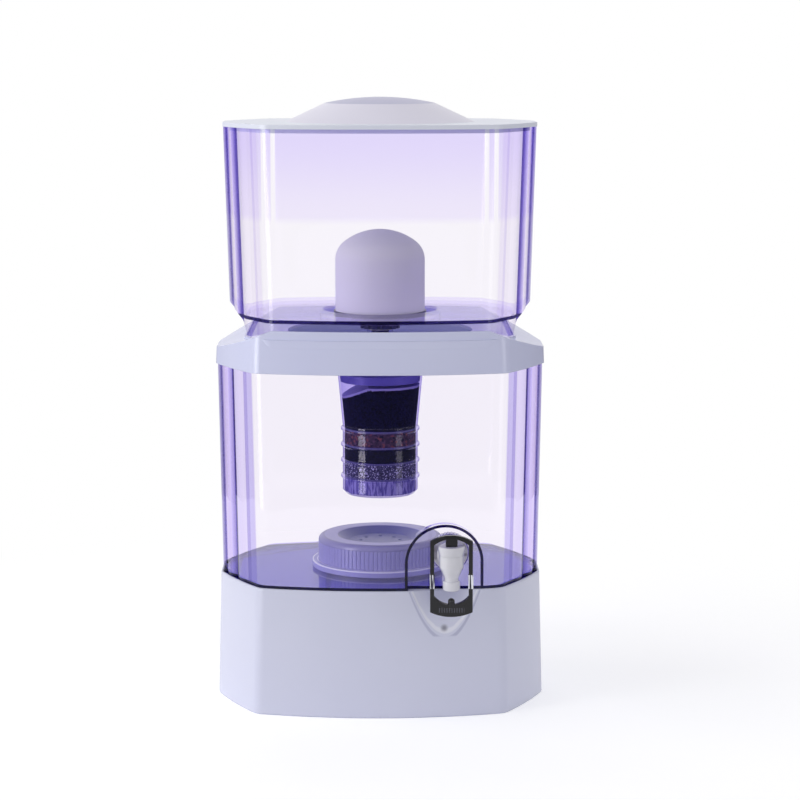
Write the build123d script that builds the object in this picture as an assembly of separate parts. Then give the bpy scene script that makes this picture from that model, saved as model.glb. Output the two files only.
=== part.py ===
from build123d import *
from math import hypot, sqrt
import os

# A two-tank gravity water filter on a hollow stand.  Millimetres, +Z up, front towards -Y.
# The origin is the centre of the stand's lower rim.  Every size below is a driving dimension.

# Plan shared by stand, tanks, collar and lid: bowed front and back, chamfered corners, flat sides
HALF_WIDTH = 164.4
HALF_DEPTH = 122.0
FRONT_RADIUS = 450.0
CHAMFER_RUN = 41.0
CHAMFER_BOW = 2.5
CORNER_RADIUS = 17.0
SIDE_RADIUS = 18.0
SIDE_LENGTH = 50.0
FLUTE_WIDTH = 26.0
FLUTE_DEPTH = 3.0
FIRST_GROOVE_DEPTH = 1.0
CHAMFER_FLUTES = 2
CORNER_FLUTE_LAP = 5.0
CORNER_FLUTE_DEPTH = 4.0
SIDE_FLUTES = 1


def stepped_in(across, along):
    """Half width and half depth of a plan that steps in from the whole filter's by these amounts."""
    return (HALF_WIDTH - across, HALF_DEPTH - along)


# Clearances
NEST_CLEARANCE = 0.4
FIT_CLEARANCE = 0.06
SOFT_CLEARANCE = 0.3

# Stand
BASE_HEIGHT = 126.2
BASE_FOOT = stepped_in(0, 0)
BASE_TOP = stepped_in(3.5, 2.8)
BASE_WALL = 2.8
BASE_DECK = 3.0
BASE_EDGE = 1.2
BASE_RIM_ROUND = 1.4
TANK_POCKET = 3.5

# Lower tank
LOWER_HEIGHT = 227.5
LOWER_FOOT = stepped_in(5.9, 5.4)
LOWER_TOP = stepped_in(2.2, 3.6)
TANK_WALL = 3.0
TANK_FLOOR = 5.5

# Recess in the front wall that holds the tap
RECESS_X = 62.2
RECESS_RADIUS = 35.7
RECESS_RISE = 65.8
RECESS_DEPTH = 16.4
SCOOP_LIP = 3.4
SCOOP_DROP = 44.2
SCOOP_RADIUS = 125.0

# Collar between the tanks
COLLAR_OVERLAP = 12.0
COLLAR_HEIGHT = 41.8
COLLAR_FOOT = stepped_in(0.6, 0.8)
COLLAR_TOP = stepped_in(2.4, 1.4)
COLLAR_EAVE = 16.0
COLLAR_ROOF_RUN = 59.4
COLLAR_WALL = 2.4
COLLAR_LEDGE = 10.0
COLLAR_SEAT_DROP = 11.0
COLLAR_HOLE_RADIUS = 92.5
COLLAR_LIP = 1.8
COLLAR_LIP_RISE = 2.4

# Upper tank
UPPER_HEIGHT = 203.5
UPPER_FOOT = stepped_in(15.9, 4.7)
UPPER_TOP = stepped_in(10.0, 2.4)
NECK_STEP = 35.4
NECK_FLARE = 5.6
NECK_HEIGHT = 15.5
SHOULDER_HEIGHT = 30.0
SKIRT_HEIGHT = 17.5
UPPER_FLOOR = 3.5
SUMP_RADIUS = 57.8
SUMP_DEPTH = 8.0
SUMP_FLOOR = 3.0

# Lid
LID_RIM = 4.2
LID_OVERHANG = 0.6
LID_PLATE = 2.2
LID_DOME_RADIUS = 94.0
LID_CROWN_RADIUS = 55.0
LID_DOME_RISE = 24.3
LID_CROWN_RISE = 6.0
LID_PLUG_DEPTH = 4.0
LID_PLUG_WALL = 2.0

# Ceramic dome filter on its dish, gasket and hollow stem
DOME_RADIUS = 44.9
DOME_HEIGHT = 82.4
DOME_CROWN_RADIUS = 58.7
DOME_SHOULDER = 23.0
DOME_WALL = 9.0
DISH_THICKNESS = 4.0
DISH_RIM = 1.4
DISH_RIM_RISE = 1.0
GASKET_THICKNESS = 1.4
GASKET_RADIUS = 30.0
STEM_RADIUS = 9.0
STEM_BORE = 3.5
STEM_LENGTH = 26.5
STEM_NUT_RADIUS = 20.0
STEM_NUT_HEIGHT = 7.0
STEM_NUT_RIBS = 12
STEM_NUT_NOTCH = 2.5
STEM_NUT_NOTCH_OUT = 0.8

# Mineral cartridge
CUP_RADIUS = 38.0
CUP_MOUTH_RADIUS = 45.8
CUP_HEIGHT = 154.0
CUP_STRAIGHT = 70.0
CUP_WALL = 2.0
CUP_FLOOR = 2.5
CUP_FOOT_ROUND = 4.0
CUP_DRAINS = 8
CUP_DRAIN_RADIUS = 1.5
RING_FIRST = 18.0
RING_SPACING = 16.1
RING_COUNT = 4
RING_PROUD = 1.8
RING_THICKNESS = 5.0
RING_CREST = 2.0
PAD_THICKNESS = 2.0
CARBON_TOP_LOW = 96.5
CARBON_TOP_HIGH = 111.5
CARBON_SLOPE_END = -12.0
SCREEN_HEIGHT = 114.5
SCREEN_THICKNESS = 1.5
SCREEN_RIM = 8.0
SCREEN_RIM_WALL = 1.2
SCREEN_HOLES = 12
SCREEN_HOLE_RINGS = (9.5, 19.0, 28.5)
CAP_WALL = 2.2
CAP_SKIRT = 6.0
CAP_PLATE = 3.0
CAP_NECK_RADIUS = 13.0
CAP_NECK_LENGTH = 12.8
CAP_RIBS = 40
CAP_RIB_DEPTH = 0.8
SEAL_THICKNESS = 1.5

# Mineral stone case on the lower tank's floor
CASE_FLANGE_RADIUS = 69.1
CASE_FLANGE = 6.0
CASE_RADIUS = 63.0
CASE_HEIGHT = 31.0
CASE_SHOULDER = 5.5
CASE_WALL = 2.2
CASE_SPIGOT = 9.0
CASE_RIBS = 90
CASE_RIB_RADIUS = 0.8
CASE_RIB_OUT = 0.27
CASE_RIB_LENGTH = 19.0
CRATER_RADIUS = 44.0
CRATER_FLOOR_RADIUS = 33.0
CRATER_DEPTH = 6.5
CRATER_HOLES = 8
CRATER_HOLE_RING = 20.0
CRATER_HOLE_RADIUS = 2.0
STONE_RADIUS = 5.5
STONE_COUNT = 22

# Tap
TAP_X = 68.0
SHANK_RISE = 38.3
VALVE_REACH = 44.0
SHANK_RADIUS = 7.9
SHANK_BORE = 4.0
SHANK_INSIDE = 20.0
FLANGE_RADIUS = 13.0
FLANGE_THICKNESS = 3.5
WASHER_THICKNESS = 2.0
TAP_NUT_RADIUS = 19.0
TAP_NUT_HEIGHT = 9.0
TAP_NUT_KNURLS = 36
TAP_NUT_KNURL_RADIUS = 0.9
TAP_NUT_KNURL_OUT = 0.2
INNER_WASHER_INSET = 2.0
SPOUT_RADIUS = 8.4
SPOUT_BORE = 5.2
SPOUT_LENGTH = 26.4
SPOUT_RING = 9.6
SPOUT_NECK_RADIUS = 6.9
SPOUT_NECK = 3.0
SPOUT_FOOT_ROUND = 2.0
SPOUT_RING_ROUND = 1.2
BULB_RADIUS = 11.7
BULB_ABOVE_SEAT = 5.0
BULB_FOOT_ROUND = 3.0
BULB_ROUND = 6.0
CHAMBER_RADIUS = 7.6
SEAT_DROP = 8.5
BONNET_RADIUS = 13.1
BONNET_HEIGHT = 9.0
BONNET_TOP_ABOVE_SHANK = 17.0
BONNET_ROOF = 3.2
BONNET_NECK_RADIUS = 9.7
BONNET_FOOT_ROUND = 2.0
BONNET_TOP_ROUND = 0.8
VALVE_STEM_RADIUS = 2.4
PLUG_RADIUS = 6.6
PLUG_HEIGHT = 3.0
PLUG_BEVEL = 1.0
SEAT_THICKNESS = 2.5
SEAT_RADIUS = 4.2
SPRING_WIRE = 0.45
SPRING_RADIUS = 4.6
SPRING_TURNS = 6

# Tap handle: a loop that hangs from the valve stem and is pushed back with a cup
PIN_ABOVE_BONNET = 3.8
PIN_RADIUS = 1.2
BLOCK_WIDTH = 11.1
BLOCK_HEIGHT = 8.0
BLOCK_DEPTH = 12.0
BLOCK_SLOT = 4.6
BLOCK_GAP = 0.4
BLOCK_FRONT_WALL = 1.6
BLOCK_ROOF = 1.6
TANG_WIDTH = 4.0
TANG_RADIUS = 2.6
TANG_START = 1.0
HANDLE_WIDTH = 40.8
HANDLE_ABOVE_PIN = 6.8
HANDLE_HEIGHT = 79.6
HANDLE_RAIL = 3.8
HANDLE_DEPTH = 5.0
HANDLE_ARCH = 5.9
HANDLE_TOP_BAR = 3.7
HANDLE_BAR = 12.0
HANDLE_BAR_HOLLOW = 8.2
HANDLE_BAR_SAG = 4.6
HANDLE_KNOB_RADIUS = 3.3
HANDLE_KNOB_RISE = 6.0
TRIM_LENGTH = 13.6
TRIM_WALL = 0.4
TRIM_RISE = 27.6

# Places that follow from the sizes above
NECK_HALF_WIDTH = HALF_WIDTH - NECK_STEP
NECK_TOP_HALF_WIDTH = NECK_HALF_WIDTH + NECK_FLARE
COLLAR_RIDGE_HALF = HALF_WIDTH - COLLAR_ROOF_RUN
RECESS_WALL_Y = RECESS_DEPTH - HALF_DEPTH
LOWER_SEAT = BASE_HEIGHT - TANK_POCKET
LOWER_RIM = LOWER_SEAT + LOWER_HEIGHT
LOWER_INSIDE = LOWER_SEAT + TANK_FLOOR
COLLAR_BOTTOM = LOWER_RIM - COLLAR_OVERLAP
COLLAR_RIDGE = COLLAR_BOTTOM + COLLAR_HEIGHT
UPPER_SEAT = COLLAR_RIDGE - COLLAR_SEAT_DROP
UPPER_RIM = UPPER_SEAT + UPPER_HEIGHT
FLOOR_UNDERSIDE = UPPER_SEAT + SKIRT_HEIGHT
FLOOR_TOP = FLOOR_UNDERSIDE + UPPER_FLOOR
SUMP_TOP = FLOOR_TOP - SUMP_DEPTH
SUMP_UNDERSIDE = SUMP_TOP - SUMP_FLOOR
DISH_BOTTOM = SUMP_TOP + GASKET_THICKNESS
DISH_TOP = DISH_BOTTOM + DISH_THICKNESS
DISH_RADIUS = DOME_RADIUS + SOFT_CLEARANCE + DISH_RIM
STEM_BOTTOM = DISH_BOTTOM - STEM_LENGTH
STEM_NUT_BOTTOM = SUMP_UNDERSIDE - GASKET_THICKNESS - STEM_NUT_HEIGHT
CAP_NECK_TOP = STEM_NUT_BOTTOM - SEAL_THICKNESS
CUP_RIM = CAP_NECK_TOP - CAP_NECK_LENGTH
CARTRIDGE_BOTTOM = CUP_RIM - CUP_HEIGHT
CASE_TOP = LOWER_INSIDE + CASE_HEIGHT
SCOOP_TIP = BASE_HEIGHT - SCOOP_DROP
RECESS_TOP = LOWER_SEAT + RECESS_RISE
SHANK_Z = LOWER_SEAT + SHANK_RISE
VALVE_Y = RECESS_WALL_Y - VALVE_REACH
BONNET_TOP = SHANK_Z + BONNET_TOP_ABOVE_SHANK
BONNET_UNDERSIDE = BONNET_TOP - BONNET_ROOF
VALVE_SEAT = SHANK_Z - SEAT_DROP
PIN_Z = BONNET_TOP + PIN_ABOVE_BONNET
HANDLE_TOP = PIN_Z + HANDLE_ABOVE_PIN
HANDLE_BOTTOM = HANDLE_TOP - HANDLE_HEIGHT


# ---------------------------------------------------------------- plan and tapered forms

def shifted(point, normal_a, normal_b, inset):
    """The corner where two sides meet, after both move inwards by inset."""
    scale = inset / (1 + normal_a.dot(normal_b))
    return point - (normal_a + normal_b) * scale


def bulged(start, end, bulge):
    """Middle point of an arc from start to end that rises by bulge to the right of its chord."""
    along = (end - start).normalized()
    return (start + end) / 2 + Vector(along.Y, -along.X) * bulge


def side_points(half_width, half_depth, inset, fluted):
    """Right-hand side of the plan from the front corner to the back one, as (start, middle, end) arcs.

    A fluted side has a plain strip beside each corner, then flutes, one of which wraps the side's corner.
    """
    corner_x = half_width - CHAMFER_RUN
    front_sag = FRONT_RADIUS - sqrt(FRONT_RADIUS ** 2 - corner_x ** 2)
    corner = Vector(corner_x, front_sag - half_depth)
    side = Vector(half_width, -SIDE_LENGTH / 2)
    along = (side - corner).normalized()
    chamfer_normal = Vector(along.Y, -along.X)
    front_normal = Vector(corner_x, front_sag - FRONT_RADIUS).normalized()
    corner_in = shifted(corner, front_normal, chamfer_normal, inset)
    side_in = shifted(side, chamfer_normal, Vector(1, 0), inset)
    if not fluted:
        chamfer = [(corner_in, bulged(corner_in, side_in, CHAMFER_BOW), side_in)]
        flat = [(side_in, None, Vector(side_in.X, -side_in.Y))]
    else:
        sunk = shifted(side_in, chamfer_normal, Vector(1, 0), FLUTE_DEPTH)
        length = (side_in - corner_in).length
        grooves = []
        for number in range(CHAMFER_FLUTES, -1, -1):
            share = (CORNER_FLUTE_LAP + number * FLUTE_WIDTH) / length
            bow = CHAMFER_BOW * 4 * share * (1 - share)
            grooves.append(sunk + (corner_in - side_in) * share + chamfer_normal * bow)
        grooves[0] += chamfer_normal * (FLUTE_DEPTH - FIRST_GROOVE_DEPTH)
        chamfer = [(corner_in, None, grooves[0])]
        bulge = (FIRST_GROOVE_DEPTH + FLUTE_DEPTH) / 2
        for start, end in zip(grooves, grooves[1:]):
            chamfer.append((start, bulged(start, end, bulge), end))
            bulge = FLUTE_DEPTH
        first = Vector(sunk.X, -SIDE_FLUTES * FLUTE_WIDTH / 2)
        chamfer.append((grooves[-1], bulged(grooves[-1], first, CORNER_FLUTE_DEPTH), first))
        steps = [first + Vector(0, -2 * first.Y) * (n / SIDE_FLUTES) for n in range(SIDE_FLUTES + 1)]
        flat = [(a, bulged(a, b, FLUTE_DEPTH), b) for a, b in zip(steps, steps[1:])]
    back = [tuple(mirrored_y(point) for point in reversed(arc)) for arc in reversed(chamfer)]
    return chamfer + flat + back


def mirrored_y(point):
    return point and Vector(point.X, -point.Y)


def mirrored_x(point):
    return point and Vector(-point.X, point.Y)


def edge_through(start, middle, end):
    if middle is None:
        return Edge.make_line(start, end)
    return Edge.make_three_point_arc(start, middle, end)


def outline(size, inset=0.0, fluted=False):
    """Face of the eight-sided plan at one height, with its corners rounded."""
    half_width, half_depth = size
    right = side_points(half_width, half_depth, inset, fluted)
    left = [tuple(mirrored_x(point) for point in arc) for arc in right]
    front = right[0][0]
    front_middle = Vector(0, inset - half_depth)
    edges = [edge_through(mirrored_x(front), front_middle, front)]
    edges += [edge_through(*arc) for arc in right]
    edges.append(edge_through(mirrored_y(front), mirrored_y(front_middle), Vector(-front.X, -front.Y)))
    edges += [edge_through(*arc) for arc in left]
    face = Face(Wire(edges))
    away = [(v, abs(abs(v.X) - front.X), abs(abs(v.Y) + front.Y)) for v in face.vertices()]
    corners = [v for v, across, along in away if max(across, along) < 0.01]
    face = face.fillet_2d(CORNER_RADIUS - inset, corners)
    if not fluted:
        side_y = right[0][2].Y
        sides = [v for v in face.vertices() if abs(abs(v.Y) + side_y) < 0.01]
        face = face.fillet_2d(SIDE_RADIUS - inset, sides)
    return face


def between(low, high, share):
    return tuple(a + (b - a) * share for a, b in zip(low, high))


def tapered(low, high, bottom, top, inset=0.0, fluted=False):
    """Solid between two heights whose plan changes evenly from the size low to the size high."""
    faces = [
        Pos(0, 0, bottom) * outline(low, inset, fluted),
        Pos(0, 0, top) * outline(high, inset, fluted),
    ]
    return Part() + Solid.make_loft([face.outer_wire() for face in faces], ruled=True)


def disc(radius, bottom, height, x=0.0, y=0.0):
    return Pos(x, y, bottom) * Cylinder(radius, height, align=(Align.CENTER, Align.CENTER, Align.MIN))


def turned(points, x=0.0, y=0.0, rounds=()):
    """Solid of revolution about a vertical axis from (radius, height) points.

    rounds holds (place in the list, radius) for each corner of the profile that is rounded.
    """
    profile = make_face(Polyline(points, close=True))
    for place, radius in rounds:
        corner = profile.vertices().sort_by_distance(Vector(*points[place]))[0]
        profile = fillet(corner, radius)
    return Pos(x, y, 0) * revolve(Plane.XZ * profile, Axis.Z)


def along_y(radius, start, end, x, z):
    """Cylinder along Y from start to end."""
    length = abs(end - start)
    return Pos(x, (start + end) / 2, z) * Rot(90, 0, 0) * Cylinder(radius, length)


def front_prism(points, y_start, y_end):
    """Prism along Y whose section is given as (x, z) points."""
    face = make_face(Polyline([(x, y_start, z) for x, z in points], close=True))
    return extrude(face, amount=y_end - y_start, dir=(0, 1, 0))


# ---------------------------------------------------------------- stand

def arch_prism(grow, bottom, y_start, y_end):
    """The tap recess as a round-topped prism along Y, grown sideways and upwards by grow."""
    radius = RECESS_RADIUS + grow
    centre_z = RECESS_TOP - RECESS_RADIUS
    depth = y_end - y_start
    middle = Pos(RECESS_X, (y_start + y_end) / 2, (bottom + centre_z) / 2)
    lower = middle * Box(2 * radius, depth, centre_z - bottom)
    return lower + along_y(radius, y_start, y_end, RECESS_X, centre_z)


def scoop(grow):
    """Upright cone in front of the stand that hollows its bowed front squarely below the tap."""
    front_turn = RECESS_X / FRONT_RADIUS
    axis_x = RECESS_X + SCOOP_RADIUS * front_turn
    axis_y = RECESS_WALL_Y - SCOOP_LIP - SCOOP_RADIUS * sqrt(1 - front_turn ** 2)
    front_sag = FRONT_RADIUS - sqrt(FRONT_RADIUS ** 2 - RECESS_X ** 2)
    tip_depth = between(BASE_FOOT, BASE_TOP, SCOOP_TIP / BASE_HEIGHT)[1]
    tip_radius = hypot(axis_x - RECESS_X, front_sag - tip_depth - axis_y)
    height = BASE_HEIGHT - SCOOP_TIP
    slope = (SCOOP_RADIUS - tip_radius) / height
    top = BASE_HEIGHT + TANK_POCKET
    low_radius = tip_radius - slope * height + grow
    high_radius = SCOOP_RADIUS + slope * TANK_POCKET + grow
    points = [(0, SCOOP_TIP - height), (low_radius, SCOOP_TIP - height), (high_radius, top), (0, top)]
    return turned(points, axis_x, axis_y)


def make_base():
    """Hollow white stand: outer skin, deck with a pocket for the tank, scoop under the tap."""
    bevel_size = between(BASE_FOOT, BASE_TOP, BASE_EDGE / BASE_HEIGHT)
    outer = tapered(bevel_size, BASE_TOP, BASE_EDGE, BASE_HEIGHT)
    foot = tuple(value - BASE_EDGE / 2 for value in BASE_FOOT)
    outer += tapered(foot, bevel_size, 0, BASE_EDGE)
    outer = rounded_at(outer, BASE_HEIGHT, BASE_RIM_ROUND)
    deck_underside = LOWER_SEAT - BASE_DECK
    deck_size = between(BASE_FOOT, BASE_TOP, deck_underside / BASE_HEIGHT)
    inner = tapered(BASE_FOOT, deck_size, 0, deck_underside, inset=BASE_WALL)
    pocket = tapered(LOWER_FOOT, LOWER_FOOT, LOWER_SEAT, BASE_HEIGHT, inset=-NEST_CLEARANCE)
    front = -BASE_FOOT[1]
    pocket -= arch_prism(-NEST_CLEARANCE, deck_underside, front, RECESS_WALL_Y - NEST_CLEARANCE)
    scooped = outer - scoop(0)
    return scooped - (inner - scoop(BASE_WALL)) - pocket


def rounded_at(solid, height, radius):
    """The solid with its edges that lie wholly at one height rounded."""
    edges = [e for e in solid.edges() if all(abs(v.Z - height) < 0.01 for v in e.vertices())]
    return fillet(edges, radius)


# ---------------------------------------------------------------- lower tank

def make_lower_tank():
    """Clear fluted tank with the flat-backed recess and hole for the tap."""
    outer = tapered(LOWER_FOOT, LOWER_TOP, LOWER_SEAT, LOWER_RIM, fluted=True)
    inside_size = between(LOWER_FOOT, LOWER_TOP, TANK_FLOOR / LOWER_HEIGHT)
    inner = tapered(inside_size, LOWER_TOP, LOWER_INSIDE, LOWER_RIM, inset=TANK_WALL, fluted=True)
    front = -BASE_FOOT[1]
    recess_box = arch_prism(TANK_WALL, LOWER_SEAT - 1, front, RECESS_WALL_Y + TANK_WALL)
    recess = arch_prism(0, LOWER_SEAT - 1, front, RECESS_WALL_Y)
    hole = along_y(SHANK_RADIUS + SOFT_CLEARANCE, front, RECESS_WALL_Y + 2 * TANK_WALL, TAP_X, SHANK_Z)
    return outer - (inner - recess_box) - recess - hole


# ---------------------------------------------------------------- collar

def roof_prism(drop):
    """Space under the collar's roof: level in the middle, falling to the eaves at both sides."""
    eave_x, eave_z = COLLAR_FOOT[0], COLLAR_BOTTOM + COLLAR_EAVE - drop
    ridge_z = COLLAR_RIDGE - drop
    right = [(COLLAR_RIDGE_HALF, ridge_z), (eave_x, eave_z), (eave_x, COLLAR_BOTTOM - 1)]
    points = right + [(-x, z) for x, z in reversed(right)]
    depth = BASE_FOOT[1]
    return front_prism(points, -depth, depth)


def neck_clip(inset):
    """Space kept by the upper tank's narrow neck and sloping shoulders."""
    narrow, wide = NECK_HALF_WIDTH - inset, NECK_TOP_HALF_WIDTH - inset
    full = UPPER_TOP[0] + TANK_WALL
    run = full - wide
    shoulder_foot = UPPER_SEAT + NECK_HEIGHT
    slope = (SHOULDER_HEIGHT - NECK_HEIGHT) / (UPPER_FOOT[0] - NECK_TOP_HALF_WIDTH)
    right = [
        (narrow, UPPER_SEAT - 1),
        (narrow, UPPER_SEAT),
        (wide, shoulder_foot),
        (full, shoulder_foot + run * slope),
        (full, UPPER_RIM + 1),
    ]
    points = right + [(-x, z) for x, z in reversed(right)]
    depth = BASE_FOOT[1]
    return front_prism(points, -depth, depth)


def skirt_plan(bottom, top, inset):
    """Plan of the upper tank's skirt between two heights, without flutes.

    Its sides stand where the widening neck has got to at the height of the collar's lip.
    """
    widening = (NECK_TOP_HALF_WIDTH - NECK_HALF_WIDTH) * COLLAR_LIP_RISE / NECK_HEIGHT
    half_width = NECK_HALF_WIDTH + widening - inset
    clip = Box(2 * half_width, 4 * BASE_FOOT[1], 4 * COLLAR_RIDGE)
    return tapered(UPPER_FOOT, UPPER_TOP, bottom, top, inset=inset) & clip


def make_collar():
    """White ring: laps over the lower tank's rim and carries the upper tank's skirt on its plate."""
    outer = tapered(COLLAR_FOOT, COLLAR_TOP, COLLAR_BOTTOM, COLLAR_RIDGE) & roof_prism(0)
    lip_top = UPPER_SEAT + COLLAR_LIP_RISE
    outer += skirt_plan(COLLAR_BOTTOM + COLLAR_EAVE, lip_top, -NEST_CLEARANCE - COLLAR_LIP)
    lap = tapered(LOWER_TOP, LOWER_TOP, COLLAR_BOTTOM - 1, LOWER_RIM, inset=-SOFT_CLEARANCE)
    ledge_top = LOWER_RIM + COLLAR_WALL
    inside = COLLAR_LEDGE - SOFT_CLEARANCE
    opening = tapered(LOWER_TOP, LOWER_TOP, LOWER_RIM - 1, ledge_top + 1, inset=inside)
    plate_underside = UPPER_SEAT - COLLAR_WALL
    cavity = tapered(COLLAR_TOP, COLLAR_TOP, ledge_top, plate_underside, inset=COLLAR_WALL)
    cavity &= roof_prism(COLLAR_WALL)
    pocket = skirt_plan(UPPER_SEAT, COLLAR_RIDGE + 1, -NEST_CLEARANCE)
    hole = disc(COLLAR_HOLE_RADIUS, COLLAR_BOTTOM, COLLAR_HEIGHT)
    return outer - lap - opening - cavity - pocket - hole


# ---------------------------------------------------------------- upper tank and lid

def make_upper_tank():
    """Clear fluted tank on a narrow skirt, with a round sump for the dome filter."""
    outer = tapered(UPPER_FOOT, UPPER_TOP, UPPER_SEAT, UPPER_RIM, fluted=True) & neck_clip(0)
    inner = tapered(UPPER_FOOT, UPPER_TOP, UPPER_SEAT, UPPER_RIM, inset=TANK_WALL, fluted=True)
    inner &= neck_clip(TANK_WALL)
    span = 2 * BASE_FOOT[0]
    floor = Pos(0, 0, FLOOR_UNDERSIDE + UPPER_FLOOR / 2) * Box(span, span, UPPER_FLOOR)
    floor += disc(SUMP_RADIUS + SUMP_FLOOR, SUMP_UNDERSIDE, FLOOR_TOP - SUMP_UNDERSIDE)
    floor -= disc(SUMP_RADIUS, SUMP_TOP, SUMP_DEPTH)
    hole = disc(STEM_RADIUS + SOFT_CLEARANCE, UPPER_SEAT, UPPER_HEIGHT)
    return outer - (inner - floor) - hole


def lid_size():
    return tuple(value + LID_OVERHANG for value in UPPER_TOP)


def make_lid():
    """White lid: a rimmed plate with a conical dome, a shallow crown and a plug ring below."""
    size = lid_size()
    body = tapered(size, size, UPPER_RIM, UPPER_RIM + LID_RIM)
    plate_top = UPPER_RIM + LID_RIM
    dome_top = plate_top + LID_DOME_RISE
    crown_foot = dome_top - LID_CROWN_RISE
    dome = [(0, UPPER_RIM), (LID_DOME_RADIUS, UPPER_RIM), (LID_DOME_RADIUS, plate_top)]
    dome += [(LID_CROWN_RADIUS, crown_foot), (0, crown_foot)]
    body += turned(dome)
    crown_radius = (LID_CROWN_RADIUS ** 2 + LID_CROWN_RISE ** 2) / (2 * LID_CROWN_RISE)
    crown = Pos(0, 0, dome_top - crown_radius) * Sphere(crown_radius)
    body += crown & disc(LID_CROWN_RADIUS, crown_foot, LID_CROWN_RISE)
    hollow = [(0, UPPER_RIM - 1), (LID_DOME_RADIUS - LID_PLATE, UPPER_RIM - 1)]
    hollow += [(LID_DOME_RADIUS - LID_PLATE, plate_top - LID_PLATE)]
    hollow += [(LID_CROWN_RADIUS - LID_PLATE, crown_foot - LID_PLATE), (0, crown_foot - LID_PLATE)]
    body -= turned(hollow)
    mouth = tapered(UPPER_TOP, UPPER_TOP, UPPER_RIM, plate_top - LID_PLATE, inset=-SOFT_CLEARANCE)
    body -= mouth - lid_plug(0)
    return body + lid_plug(LID_PLUG_DEPTH)


def lid_plug(depth):
    """Ring under the lid that drops inside the tank's mouth."""
    gap = TANK_WALL + FLUTE_DEPTH + NEST_CLEARANCE
    top = UPPER_RIM + LID_RIM - LID_PLATE
    outer = tapered(UPPER_TOP, UPPER_TOP, UPPER_RIM - depth, top, inset=gap)
    return outer - tapered(UPPER_TOP, UPPER_TOP, UPPER_RIM - depth, top, inset=gap + LID_PLUG_WALL)


# ---------------------------------------------------------------- dome filter

def make_ceramic_dome():
    """Hollow ceramic dome that stands in the dish."""
    return dome_solid(0) - dome_solid(DOME_WALL)


def dome_solid(inset):
    """Round-shouldered cylinder with a flatter crown, drawn inwards by inset."""
    radius = DOME_RADIUS - inset
    crown = DOME_CROWN_RADIUS - inset
    height = DOME_HEIGHT - inset
    corner = (radius, height - crown + sqrt(crown ** 2 - radius ** 2))
    section = Polyline((0, height), (0, 0), (radius, 0), corner) + RadiusArc(corner, (0, height), -crown)
    profile = make_face(section.edges())
    shoulder = profile.vertices().sort_by_distance(Vector(*corner))[0]
    profile = fillet(shoulder, DOME_SHOULDER - inset)
    return Pos(0, 0, DISH_TOP) * revolve(Plane.XZ * profile, Axis.Z)


def make_dome_dish():
    """Plastic dish under the dome, with the hollow threaded stem through the tank's floor."""
    dish = disc(DISH_RADIUS, DISH_BOTTOM, DISH_THICKNESS + DISH_RIM_RISE)
    dish -= disc(DISH_RADIUS - DISH_RIM, DISH_TOP, DISH_RIM_RISE)
    dish += disc(STEM_RADIUS, STEM_BOTTOM, STEM_LENGTH)
    return dish - disc(STEM_BORE, STEM_BOTTOM, DISH_TOP - STEM_BOTTOM)


def ring(outer, inner, bottom, height):
    return disc(outer, bottom, height) - disc(inner, bottom, height)


def make_dome_gasket():
    return ring(GASKET_RADIUS, STEM_RADIUS + FIT_CLEARANCE, SUMP_TOP, GASKET_THICKNESS)


def make_stem_washer():
    bottom = SUMP_UNDERSIDE - GASKET_THICKNESS
    return ring(STEM_NUT_RADIUS, STEM_RADIUS + FIT_CLEARANCE, bottom, GASKET_THICKNESS)


def make_stem_nut():
    """Hand nut under the tank's floor, with finger notches."""
    nut = ring(STEM_NUT_RADIUS, STEM_RADIUS + FIT_CLEARANCE, STEM_NUT_BOTTOM, STEM_NUT_HEIGHT)
    notch = disc(STEM_NUT_NOTCH, STEM_NUT_BOTTOM, STEM_NUT_HEIGHT, x=STEM_NUT_RADIUS + STEM_NUT_NOTCH_OUT)
    return nut - around(notch, STEM_NUT_RIBS)


def around(shape, count):
    """Copies of a shape turned evenly about the Z axis."""
    return [Rot(0, 0, 360 * n / count) * shape for n in range(count)]


# ---------------------------------------------------------------- mineral cartridge

def cup_radius(height):
    """Outer radius of the cup at a height above its foot: straight, then flaring to the mouth."""
    share = max(0.0, (height - CUP_STRAIGHT) / (CUP_HEIGHT - CUP_STRAIGHT))
    return CUP_RADIUS + (CUP_MOUTH_RADIUS - CUP_RADIUS) * share


def make_cartridge_cup():
    """Clear cup with four rings and drain holes in its floor."""
    foot = [(0, 0), (CUP_RADIUS - CUP_FOOT_ROUND, 0), (CUP_RADIUS, CUP_FOOT_ROUND)]
    outer = turned(foot + [(CUP_RADIUS, CUP_STRAIGHT), (CUP_MOUTH_RADIUS, CUP_HEIGHT), (0, CUP_HEIGHT)])
    for number in range(RING_COUNT):
        outer += cup_ring(ring_height(number))
    inside = [(0, CUP_FLOOR), (CUP_RADIUS - CUP_WALL, CUP_FLOOR), (CUP_RADIUS - CUP_WALL, CUP_STRAIGHT)]
    outer -= turned(inside + [(CUP_MOUTH_RADIUS - CUP_WALL, CUP_HEIGHT), (0, CUP_HEIGHT)])
    drain = disc(CUP_DRAIN_RADIUS, 0, CUP_FLOOR, x=CUP_RADIUS / 2)
    outer -= around(drain, CUP_DRAINS)
    return Pos(0, 0, CARTRIDGE_BOTTOM) * outer


def cup_ring(middle):
    """Rounded ring round the cup, with its middle at a height above the cup's foot."""
    half, crest = RING_THICKNESS / 2, RING_CREST / 2
    crest_radius = CUP_RADIUS + RING_PROUD
    points = [(0, middle - half), (CUP_RADIUS, middle - half), (crest_radius, middle - crest)]
    points += [(crest_radius, middle + crest), (CUP_RADIUS, middle + half), (0, middle + half)]
    return turned(points, rounds=((2, RING_CREST / 2), (3, RING_CREST / 2)))


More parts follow.
